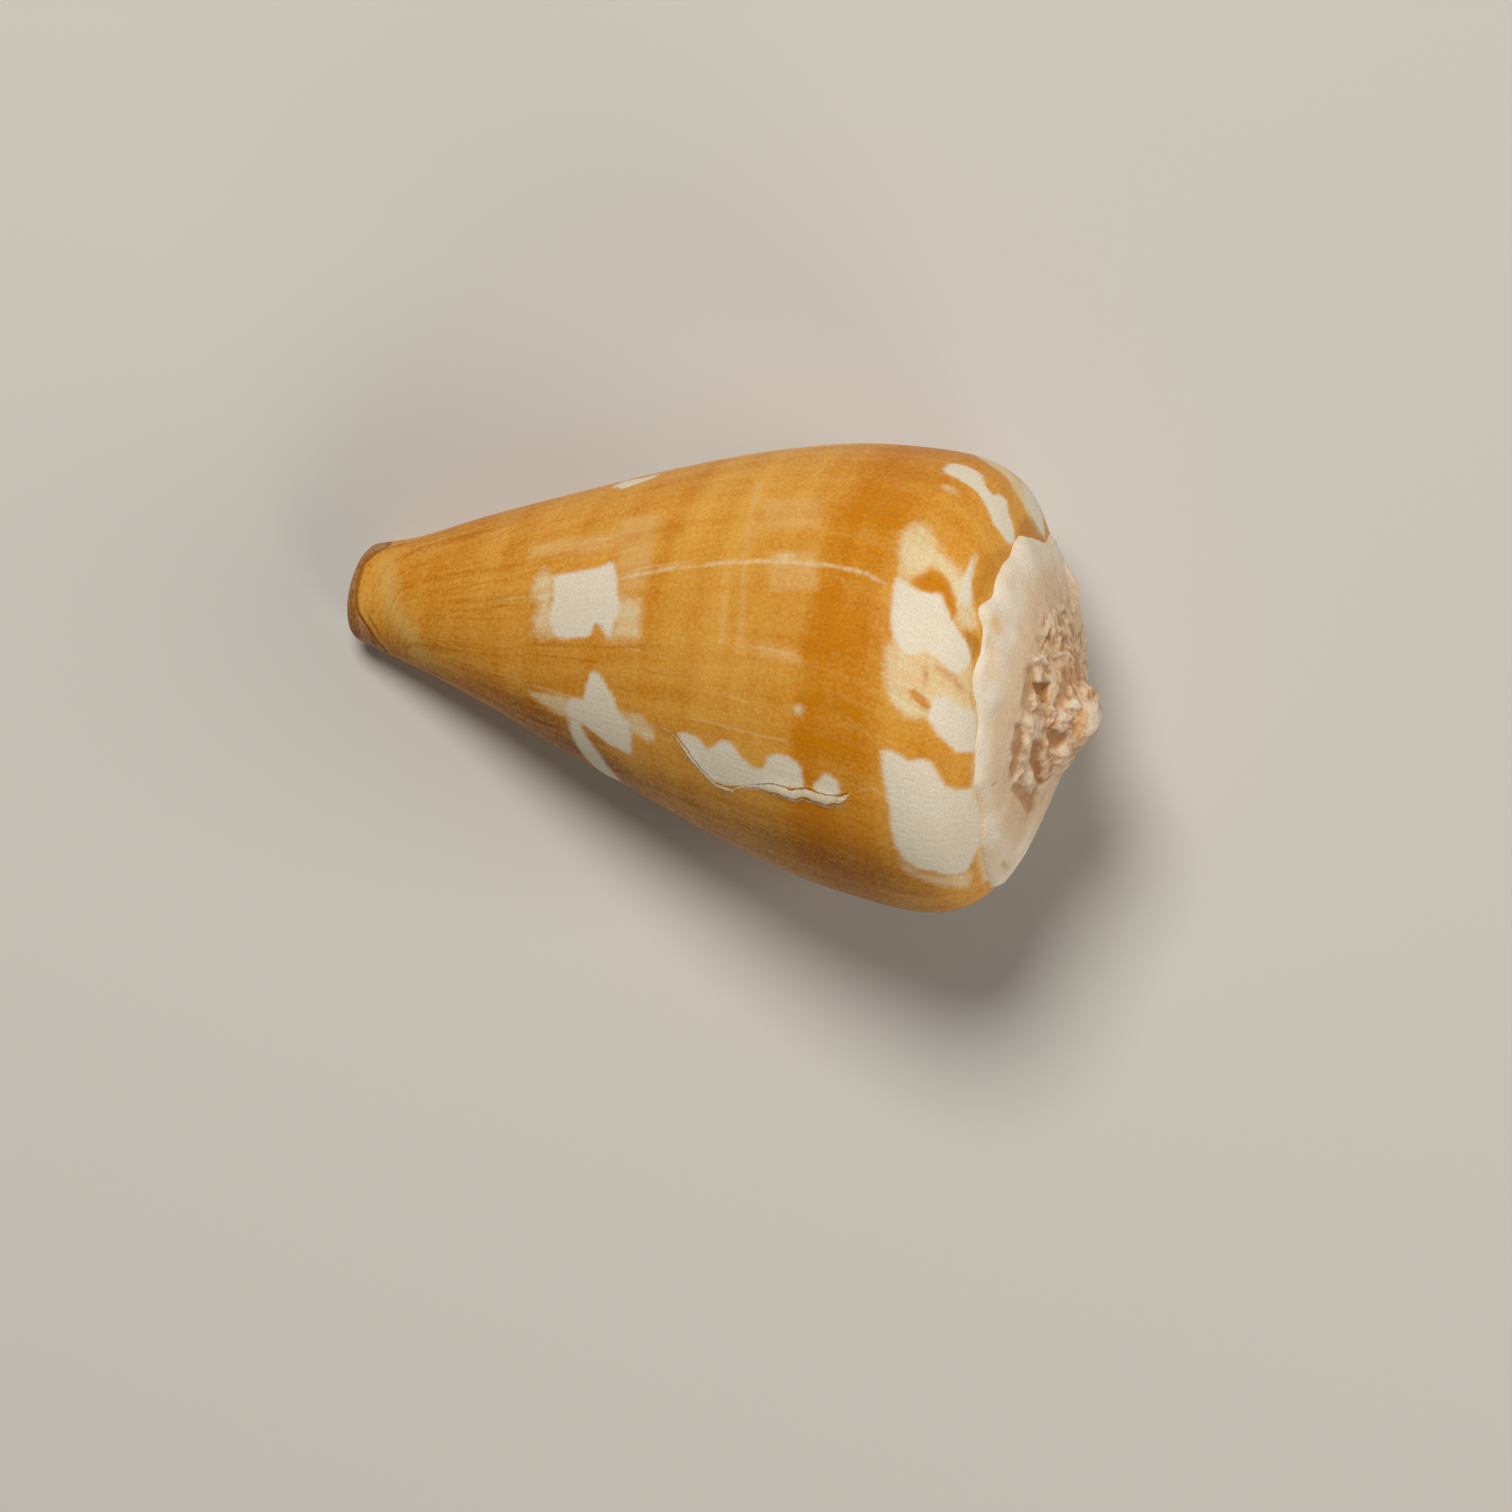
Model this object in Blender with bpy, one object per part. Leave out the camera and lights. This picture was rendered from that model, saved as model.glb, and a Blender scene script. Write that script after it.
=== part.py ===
"""A cone shell lying on its opening, with a worn and overgrown spire, as one closed solid.

The shell is first modelled in a frame of its own: the axis of the coil is X, from the narrow
front end to the spire, and angles about it are counted from the back of the shell (+Z) the way
it grew, by +Y and round to the opening underneath. It is then laid down as it rests.
"""

import math

import bmesh
import bpy
import numpy as np
from mathutils import Matrix, Vector, noise

MM = 0.001

# The outline of the last whorl, from the front end to the seam with the whorl before it:
# height along the axis, radius at SIDE_ANGLE, the factor by which one turn widens the radius,
# and how far the lip's edge lags behind LIP_ANGLE, in degrees.
OUTLINE = (
    (-0.10 * MM, 1.76 * MM, 5.20, 26.0),
    (0.02 * MM, 2.00 * MM, 4.40, 25.0),
    (0.50 * MM, 2.15 * MM, 3.60, 24.0),
    (1.60 * MM, 2.50 * MM, 3.10, 21.0),
    (3.60 * MM, 3.40 * MM, 2.90, 17.0),
    (6.40 * MM, 4.52 * MM, 2.26, 11.0),
    (9.40 * MM, 5.66 * MM, 1.92, 5.0),
    (12.40 * MM, 6.63 * MM, 1.66, 1.0),
    (15.20 * MM, 7.26 * MM, 1.46, 0.0),
    (17.60 * MM, 7.45 * MM, 1.34, 1.0),
    (19.20 * MM, 7.36 * MM, 1.27, 4.0),
    (20.30 * MM, 6.90 * MM, 1.25, 8.0),
    (20.94 * MM, 6.10 * MM, 1.24, 11.0),
    (21.24 * MM, 5.45 * MM, 1.25, 14.0),
    (21.34 * MM, 5.00 * MM, 1.30, 16.0),
)
RINGS_BETWEEN = (1, 1, 2, 2, 3, 3, 3, 3, 3, 2, 2, 2, 2, 1)
SEAM_ROW = len(OUTLINE) - 1
SIDE_ANGLE = 90.0
LIP_ANGLE = 132.0
SHOULDER_HEIGHT = 20.30 * MM
RISE_PER_TURN = 1.20 * MM
# Where the shoulder lies lower: how much, at which angle, and how far round.
DENTS = ((0.35 * MM, -135.0, 40.0), (0.40 * MM, -233.0, 30.0))

# The hollow under the lip: how far back it goes, its wall, and where wall and floor meet.
HOLLOW_TURNS = 0.40
LIP_WALL = 0.45 * MM
DEEP_WALL = 0.85 * MM
WALL_GROWS_OVER = 0.15
LIP_ROUNDING_TURNS = 0.004
WALL_SHARE = 0.5
WIDEST_ROW = 9
SHOULDER_TILT = 50.0
WALL_TOP_ROW = 11.8
FLOOR_TOP_ROW = 9.2
FLOOR_FADES_OVER = 0.09
SLIT_SHARE = 0.25
SLIT_CLOSES_BY = 0.85
CORE_END = 0.25 * MM
LID_HEIGHT = 20.6 * MM

STEPS_PER_TURN = 60
HOLLOW_STEPS = round(HOLLOW_TURNS * STEPS_PER_TURN)

# The worn spire under its growth: radius and height of its outline, from the tip outwards.
DOME = (
    (0.00 * MM, 24.00 * MM),
    (0.44 * MM, 23.94 * MM),
    (0.64 * MM, 23.76 * MM),
    (1.00 * MM, 23.50 * MM),
    (1.40 * MM, 23.22 * MM),
    (1.95 * MM, 22.90 * MM),
    (2.65 * MM, 22.56 * MM),
    (3.40 * MM, 22.24 * MM),
    (4.20 * MM, 21.96 * MM),
    (4.90 * MM, 21.76 * MM),
    (5.26 * MM, 21.55 * MM),
    (5.40 * MM, 21.00 * MM),
)
OLD_SIDE_ANGLE = -35.0
OLD_SIDE_LIFT = 0.35 * MM
DOME_SEGMENTS = 60
DOME_RINGS = 24
DOME_UNDERSIDE = 20.20 * MM
DOME_SHARE = 0.84
EDGE_WAVES = ((3, 0.06, 0.4), (5, 0.04, 1.3), (9, 0.025, 2.2))
LUMP_SIZE = 1.1 * MM
LUMP_HEIGHT = 0.11 * MM
PIT_SIZE = 0.5 * MM
PIT_HEIGHT = 0.08 * MM
SMOOTH_EDGE_FROM = 3.9 * MM

# Small pits and nodules of the growth: radius, angle, size and height of each.
NODULES = (
    (1.70 * MM, 19.0, 0.34 * MM, -0.28 * MM),
    (2.10 * MM, -62.0, 0.45 * MM, -0.14 * MM),
    (3.00 * MM, -25.0, 0.50 * MM, 0.12 * MM),
    (3.30 * MM, 35.0, 0.50 * MM, 0.09 * MM),
    (2.40 * MM, 150.0, 0.60 * MM, 0.12 * MM),
    (1.90 * MM, -120.0, 0.50 * MM, 0.12 * MM),
)

# How the shell lies on its lip, last whorl and front end: its axis rises towards the spire, it
# leans a little, and it is worn flat by this much where it touches.
REST_PITCH = 17.2
REST_ROLL = 1.2
WORN_FLAT_DEPTH = 0.07 * MM
CUTTER_SIZE = 60 * MM

ORANGE_SHELL = (0.62, 0.27, 0.05, 1.0)
SHELL_ROUGHNESS = 0.38
SMOOTH_BELOW_ANGLE = 50.0


def spline(rows, place):
    """A smooth curve through the rows, read at a row number that may lie between two rows."""
    table = np.array(rows)
    last = len(table) - 1
    here = min(int(place), last - 1)
    part = place - here
    before, start = table[max(here - 1, 0)], table[here]
    end, after = table[here + 1], table[min(here + 2, last)]
    leave, arrive = (end - before) / 2, (after - start) / 2
    return (
        start * (2 * part**3 - 3 * part**2 + 1)
        + leave * (part**3 - 2 * part**2 + part)
        + end * (3 * part**2 - 2 * part**3)
        + arrive * (part**3 - part**2)
    )


def smooth_step(share):
    share = min(max(share, 0.0), 1.0)
    return share * share * (3 - 2 * share)


def shell_point(height, radius, angle):
    """A point of the shell's own frame, from its place about the axis."""
    turn = math.radians(angle)
    return Vector((height, radius * math.sin(turn), radius * math.cos(turn)))


def whorl_place(row, turns):
    """Height, radius and angle on the whorl's outside, at a growth line so many turns from the lip."""
    height, radius, growth, lag = spline(OUTLINE, row)
    angle = LIP_ANGLE - lag + 360 * turns
    grown = (angle - SIDE_ANGLE) / 360
    dent = sum(depth * math.exp(-(((angle - middle) / spread) ** 2)) for depth, middle, spread in DENTS)
    rise = -RISE_PER_TURN * grown - dent
    return height + rise * (height / SHOULDER_HEIGHT) ** 3, radius * growth**grown, angle


def room_under(row, turns):
    """The distance from the whorl's outside to the turn below it."""
    return whorl_place(row, turns)[1] - whorl_place(row, turns - 1)[1]


def outside(row, turns):
    return shell_point(*whorl_place(row, turns))


def inside(row, turns):
    """The point under the wall, straight inward, and downward too where the shoulder closes."""
    height, radius, angle = whorl_place(row, turns)
    wall = LIP_WALL + (DEEP_WALL - LIP_WALL) * smooth_step(-turns / WALL_GROWS_OVER)
    wall = min(wall, WALL_SHARE * room_under(row, turns))
    tilt = math.radians(SHOULDER_TILT) * smooth_step((row - WIDEST_ROW) / (WALL_TOP_ROW - WIDEST_ROW))
    return shell_point(height - wall * math.sin(tilt), radius - wall * math.cos(tilt), angle)


def ring(row):
    """One closed loop: the hollow's floor, the outside of the last turn, the lip and its inside."""
    share = row / SEAM_ROW
    points = []
    for step in range(-HOLLOW_STEPS - STEPS_PER_TURN, 1):
        turns = step / STEPS_PER_TURN
        floor = 1 - smooth_step((turns + 1) / FLOOR_FADES_OVER)
        points.append(outside(row + (FLOOR_TOP_ROW * share - row) * floor, turns))
    lip_edge = (points[-1] + inside(WALL_TOP_ROW * share, 0)) / 2
    ahead = outside(row, LIP_ROUNDING_TURNS) - points[-1]
    points.append(lip_edge + ahead)
    for step in range(HOLLOW_STEPS + 1):
        turns = -step / STEPS_PER_TURN
        wall = inside(WALL_TOP_ROW * share, turns)
        floor = points[HOLLOW_STEPS - step]
        closing = smooth_step((HOLLOW_STEPS - step) / (HOLLOW_STEPS * SLIT_SHARE))
        points.append(wall.lerp(floor, SLIT_CLOSES_BY * (1 - closing)))
    return points


def ring_rows():
    for start, between in enumerate(RINGS_BETWEEN):
        for part in range(between):
            yield start + part / between
    yield float(SEAM_ROW)


def close_front(mesh, verts):
    """The rim of the wall over the hollow, and the end of the coil's core."""
    lip = HOLLOW_STEPS + STEPS_PER_TURN
    for step in range(HOLLOW_STEPS):
        outer, inner = lip - step, lip + 2 + step
        mesh.faces.new((verts[outer], verts[outer - 1], verts[inner + 1], verts[inner]))
    mesh.faces.new((verts[lip + 1], verts[lip], verts[lip + 2]))
    core = verts[: lip - HOLLOW_STEPS + 1] + [verts[-1]]
    middle = mesh.verts.new(shell_point(CORE_END, 0, 0))
    for here, following in zip(core, core[1:] + core[:1]):
        mesh.faces.new((middle, following, here))


def close_top(mesh, verts):
    """The roof of the hollow, and a lid inside the seam that the spire covers."""
    lip = HOLLOW_STEPS + STEPS_PER_TURN
    last = len(verts) - 1
    for step in range(HOLLOW_STEPS):
        floor, wall = step, last - step
        mesh.faces.new((verts[floor], verts[floor + 1], verts[wall - 1], verts[wall]))
    lid = verts[HOLLOW_STEPS : lip + 3]
    middle = mesh.verts.new(shell_point(LID_HEIGHT, 0, 0))
    for here, following in zip(lid, lid[1:] + lid[:1]):
        mesh.faces.new((middle, here, following))


def whorl_mesh():
    """The last whorl as rings extruded from the front end to the seam."""
    mesh = bmesh.new()
    rows = list(ring_rows())
    first = [mesh.verts.new(point) for point in ring(rows[0])]
    edges = [mesh.edges.new(pair) for pair in zip(first, first[1:] + first[:1])]
    verts = first
    for row in rows[1:]:
        made = bmesh.ops.extrude_edge_only(mesh, edges=edges)["geom"]
        edges = [item for item in made if isinstance(item, bmesh.types.BMEdge)]
        new = {item for item in made if isinstance(item, bmesh.types.BMVert)}
        verts = [next(e.other_vert(v) for e in v.link_edges if e.other_vert(v) in new) for v in verts]
        for vert, point in zip(verts, ring(row)):
            vert.co = point
        edges = [edge for edge in edges if all(v in new for v in edge.verts)]
    close_front(mesh, first)
    close_top(mesh, verts)
    bmesh.ops.recalc_face_normals(mesh, faces=mesh.faces)
    return mesh


def lumps(height, radius, angle):
    """How far the growth on the spire stands out: rough in the middle, calmer towards its edge."""
    place = shell_point(height, radius, angle)
    rough = 1 - 0.8 * smooth_step((radius - SMOOTH_EDGE_FROM) / MM)
    tip = smooth_step(radius / MM)
    relief = rough * tip * (
        LUMP_HEIGHT * noise.noise(place / LUMP_SIZE) + PIT_HEIGHT * noise.noise(place / PIT_SIZE)
    )
    for far, around, size, tall in NODULES:
        distance = (place - shell_point(height, far, around)).length / size
        relief += tall * math.exp(-(distance**2))
    return relief


def edge_wave(angle):
    return 1 + sum(size * math.sin(count * math.radians(angle) + start) for count, size, start in EDGE_WAVES)


def dome_point(share, angle):
    """A point of the spire's solid, from its tip (share 0) over the edge to below (share 1)."""
    last = len(DOME) - 1
    if share > DOME_SHARE:
        inward = (1 - share) / (1 - DOME_SHARE)
        return shell_point(DOME_UNDERSIDE, DOME[last][0] * inward, angle)
    radius, height = spline(DOME, last * share / DOME_SHARE)
    wave = 1 + (edge_wave(angle) - 1) * smooth_step(radius / DOME[last][0])
    older = ((1 + math.cos(math.radians(angle - OLD_SIDE_ANGLE))) / 2) ** 2
    lift = OLD_SIDE_LIFT * older * smooth_step(radius / DOME[last][0])
    return shell_point(height + lift + lumps(height, radius, angle), radius * wave, angle)


def dome_mesh():
    """A ball pushed into the spire's form."""
    mesh = bmesh.new()
    bmesh.ops.create_uvsphere(mesh, u_segments=DOME_SEGMENTS, v_segments=DOME_RINGS, radius=1)
    for vert in mesh.verts:
        share = math.acos(max(min(vert.co.z, 1), -1)) / math.pi
        vert.co = dome_point(share, math.degrees(math.atan2(vert.co.x, vert.co.y)))
    return mesh


def resting_turn():
    """The turn from the shell's own frame to how it lies, with its axis in the XZ plane."""
    lean = Matrix.Rotation(math.radians(REST_ROLL), 4, "X")
    return Matrix.Rotation(math.radians(-REST_PITCH), 4, "Y") @ lean


def lay_down(pieces):
    """Turn the pieces, then set them over the origin with the worn flat just under the floor."""
    corners = [resting_turn() @ vert.co for piece in pieces for vert in piece.data.vertices]
    low = Vector(min(corner[axis] for corner in corners) for axis in range(3))
    high = Vector(max(corner[axis] for corner in corners) for axis in range(3))
    middle = (low + high) / 2
    place = Matrix.Translation((-middle.x, -middle.y, -low.z - WORN_FLAT_DEPTH)) @ resting_turn()
    for piece in pieces:
        piece.data.transform(place)


def make_object(name, mesh, collection):
    data = bpy.data.meshes.new(name)
    mesh.to_mesh(data)
    mesh.free()
    made = bpy.data.objects.new(name, data)
    collection.objects.link(made)
    return made


def hide_guide(guide):
    guide.hide_render = True
    guide.display_type = "WIRE"


def add_boolean(target, other, operation):
    modifier = target.modifiers.new(operation.lower(), "BOOLEAN")
    modifier.operation = operation
    modifier.solver = "EXACT"
    modifier.object = other


def floor_cutter(collection):
    """A block under the floor, which wears the shell flat where it touches."""
    mesh = bmesh.new()
    below = Matrix.Translation((0, 0, -CUTTER_SIZE / 2))
    bmesh.ops.create_cube(mesh, size=CUTTER_SIZE, matrix=below)
    cutter = make_object("floor cutter", mesh, collection)
    hide_guide(cutter)
    return cutter


def shell_material():
    material = bpy.data.materials.new("orange shell")
    material.use_nodes = True
    surface = material.node_tree.nodes["Principled BSDF"]
    surface.inputs["Base Color"].default_value = ORANGE_SHELL
    surface.inputs["Roughness"].default_value = SHELL_ROUGHNESS
    surface.inputs["Metallic"].default_value = 0.0
    return material


def main():
    for old in list(bpy.data.objects):
        bpy.data.objects.remove(old)
    parts = bpy.data.collections.new("cone shell")
    guides = bpy.data.collections.new("guides")
    for collection in (parts, guides):
        bpy.context.scene.collection.children.link(collection)
    shell = make_object("shell", whorl_mesh(), parts)
    spire = make_object("spire", dome_mesh(), guides)
    hide_guide(spire)
    lay_down((shell, spire))
    add_boolean(shell, spire, "UNION")
    add_boolean(shell, floor_cutter(guides), "DIFFERENCE")
    shell.data.materials.append(shell_material())
    shell.data.shade_smooth()
    shell.data.set_sharp_from_angle(angle=math.radians(SMOOTH_BELOW_ANGLE))


main()
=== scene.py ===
"""The looks of a small cone shell with an overgrown spire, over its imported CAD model.

Lengths in the tables below are in millimetres and angles in degrees, except for the outlines of
the markings, which are in pixels of the photograph. In the shell's own frame the coil's axis is
X, from the narrow front end to the spire, and angles about it are counted from the back of the
shell the way it grew.
"""

import math

import bpy
import numpy as np
from mathutils import Matrix, Vector, noise
from mathutils.bvhtree import BVHTree


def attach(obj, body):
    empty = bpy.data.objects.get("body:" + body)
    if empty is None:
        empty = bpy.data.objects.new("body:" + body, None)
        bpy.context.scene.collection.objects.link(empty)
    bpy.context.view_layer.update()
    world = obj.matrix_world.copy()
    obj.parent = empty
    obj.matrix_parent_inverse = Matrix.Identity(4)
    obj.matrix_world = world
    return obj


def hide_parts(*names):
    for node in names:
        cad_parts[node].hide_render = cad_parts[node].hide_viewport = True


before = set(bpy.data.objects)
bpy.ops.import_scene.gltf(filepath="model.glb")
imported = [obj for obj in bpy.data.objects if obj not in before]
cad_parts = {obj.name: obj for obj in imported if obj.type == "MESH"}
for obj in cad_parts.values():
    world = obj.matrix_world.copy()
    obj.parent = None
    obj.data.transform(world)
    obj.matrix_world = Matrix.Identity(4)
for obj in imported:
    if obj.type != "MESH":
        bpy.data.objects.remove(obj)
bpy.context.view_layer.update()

bl_info = {
    "name": "Cone Shell",
    "version": (1, 0, 0),
    "blender": (4, 5, 0),
    "location": "3D View > Sidebar > Cone Shell",
    "description": "Models a small orange cone shell with an overgrown spire",
    "category": "Object",
}

MM = 0.001
MERGE_DISTANCE = 1e-7
NEXT_TO_NOTHING = 1e-12

# The outline of the last whorl, from the front end to the seam with the whorl before it:
# height along the axis, radius at SIDE_ANGLE, the factor by which one turn widens the radius,
# and how far the lip's edge lags behind LIP_ANGLE.
OUTLINE = np.array((
    (-0.10, 1.76, 5.20, 26.0),
    (0.02, 2.00, 4.40, 25.0),
    (0.50, 2.15, 3.60, 24.0),
    (1.60, 2.50, 3.10, 21.0),
    (3.60, 3.40, 2.90, 17.0),
    (6.40, 4.52, 2.26, 11.0),
    (9.40, 5.66, 1.92, 5.0),
    (12.40, 6.63, 1.66, 1.0),
    (15.20, 7.26, 1.46, 0.0),
    (17.60, 7.45, 1.34, 1.0),
    (19.20, 7.36, 1.27, 4.0),
    (20.30, 6.90, 1.25, 8.0),
    (20.94, 6.10, 1.24, 11.0),
    (21.24, 5.45, 1.25, 14.0),
    (21.34, 5.00, 1.30, 16.0),
))
SEAM_ROW = len(OUTLINE) - 1
SIDE_ANGLE = 90.0
LIP_ANGLE = 132.0
SHOULDER_HEIGHT = 20.30
RISE_PER_TURN = 1.20
# Where the shoulder lies lower: how much, at which angle, and how far round.
DENTS = ((0.35, -135.0, 40.0), (0.40, -233.0, 30.0))

# The hollow under the lip: how far back it goes, its wall, and where wall and floor meet.
HOLLOW_TURNS = 0.40
WALL_GROWS_OVER = 0.15
WALL_SHARE = 0.5
WIDEST_ROW = 9
SHOULDER_TILT = 50.0
WALL_TOP_ROW = 11.8
FLOOR_TOP_ROW = 9.2
FLOOR_FADES_OVER = 0.09
SLIT_SHARE = 0.25
SLIT_CLOSES_BY = 0.85

# The worn spire under its growth: radius and height of its outline, from the tip outwards.
DOME = np.array((
    (0.00, 24.00),
    (0.44, 23.94),
    (0.64, 23.76),
    (1.00, 23.50),
    (1.40, 23.22),
    (1.95, 22.90),
    (2.65, 22.56),
    (3.40, 22.24),
    (4.20, 21.96),
    (4.90, 21.76),
    (5.26, 21.55),
    (5.40, 21.00),
))
# The height of its underside, the share of the ball that makes its top, how finely the ball is
# divided, and the side of the older whorls, where the top is lifted.
DOME_UNDERSIDE = 20.20
DOME_SHARE = 0.84
DOME_SEGMENTS = 300
DOME_RINGS = 220
OLD_SIDE_ANGLE = -35.0
OLD_SIDE_LIFT = 0.35
# The growth's border in pixels of the photograph, with how thick the growth is there; and where
# the photograph doesn't show it: angle, radius and thickness.
BORDER = (
    (1045, 541, 0.10), (1038, 538, 0.12), (1030, 536, 0.14), (1020, 535, 0.15), (1014, 538, 0.15),
    (1011, 546, 0.15), (1009, 554, 0.15), (1001, 563, 0.14), (998, 570, 0.14), (993, 580, 0.13),
    (993, 587, 0.12), (991, 595, 0.11), (984, 600, 0.09), (977, 604, 0.07), (976, 613, 0.05),
    (979, 622, 0.07), (983, 630, 0.10), (981, 638, 0.10), (980, 648, 0.09), (974, 662, 0.05),
    (970, 676, 0.04), (971, 692, 0.03), (975, 708, 0.03), (976, 726, 0.04), (973, 746, 0.03),
    (974, 766, 0.03), (971, 786, 0.03), (977, 804, 0.04), (980, 821, 0.04), (978, 840, 0.04),
    (979, 855, 0.05), (984, 876, 0.06), (988, 890, 0.06),
)
HIDDEN_BORDER = (
    (108.0, 5.75, 0.10), (116.0, 6.05, 0.12), (132.0, 6.05, 0.12), (148.0, 5.75, 0.12),
    (168.0, 5.50, 0.10), (190.0, 5.45, 0.12), (215.0, 5.35, 0.10), (240.0, 5.45, 0.10),
    (258.0, 5.60, 0.08),
)
# How the dome meets its border: the dome's row at the edge, from which share of the radius it
# bends towards the whorl, over how many degrees the border is smoothed, how softly and how far in
# the growth covers the whorl, and which rows of the whorl's shoulder are read under it.
EDGE_ROW = 10
EDGE_BLENDS_FROM = 0.60
BORDER_SMOOTHING = 1.6
EDGE_SMOOTHING = 9.0
COVER_BLEND = 0.22
COVER_BLENDS_OVER = 0.25
SHOULDER_ROWS = (9.0, 14.0)
SHOULDER_STEPS = 60
DOME_SHEET_RINGS = 140
LUMPS_END_OVER = 0.05

# How the shell lies: its axis rises towards the spire, it leans, and this is where it starts.
REST_PITCH = 17.2
REST_ROLL = 1.2
FRONT_END = (-11.276, -0.460, 0.595)

# How finely the last whorl is divided: round the hollow, the outside and the lip, and along it.
OUTSIDE_COLUMNS = 300
HOLLOW_COLUMNS = round(OUTSIDE_COLUMNS * HOLLOW_TURNS)
LIP_COLUMNS = 5
WHORL_ROWS = 156
CAP_ROWS = 4
CORE_END = np.array((0.25, 0.0, 0.0))
LID_MIDDLE = np.array((20.5, 0.0, 0.0))

# The camera: how far the spire leans towards it, how far the axis is turned in the picture, and
# where in the photograph's own pixels the axis lies at a height of VIEW_TARGET_HEIGHT.
PHOTO_PIXELS = 1512
VIEW_TILT = 18.0
VIEW_TURN = 8.8
VIEW_TARGET_HEIGHT = 12.0
VIEW_TARGET_PIXEL = (723.6, 663.0)
VIEW_DISTANCE = 174.5
VIEW_WIDTH = 46.53
SENSOR_WIDTH = 36.0
CLIP_SHARE = 0.01

# The stage: a large matt floor under a faint even light, and lamps.
FLOOR_SIZE = 2000
FLOOR_COLOUR = (0.60, 0.57, 0.52, 1)
FLOOR_ROUGHNESS = 0.9
WORLD_COLOUR = (1.0, 1.0, 1.0, 1)
WORLD_STRENGTH = 0.03
VIEW_TRANSFORM = "Standard"
# Each lamp: name, place, size, power in watts and colour.
LAMPS = (
    ("key light", (-68, 117, 234), 110, 0.60, (1.0, 0.98, 0.95)),
    ("right light", (234, 0, 135), 110, 0.20, (1.0, 0.99, 0.97)),
    ("low light", (165, -165, 135), 110, 0.14, (1.0, 0.94, 0.86)),
)

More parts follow.
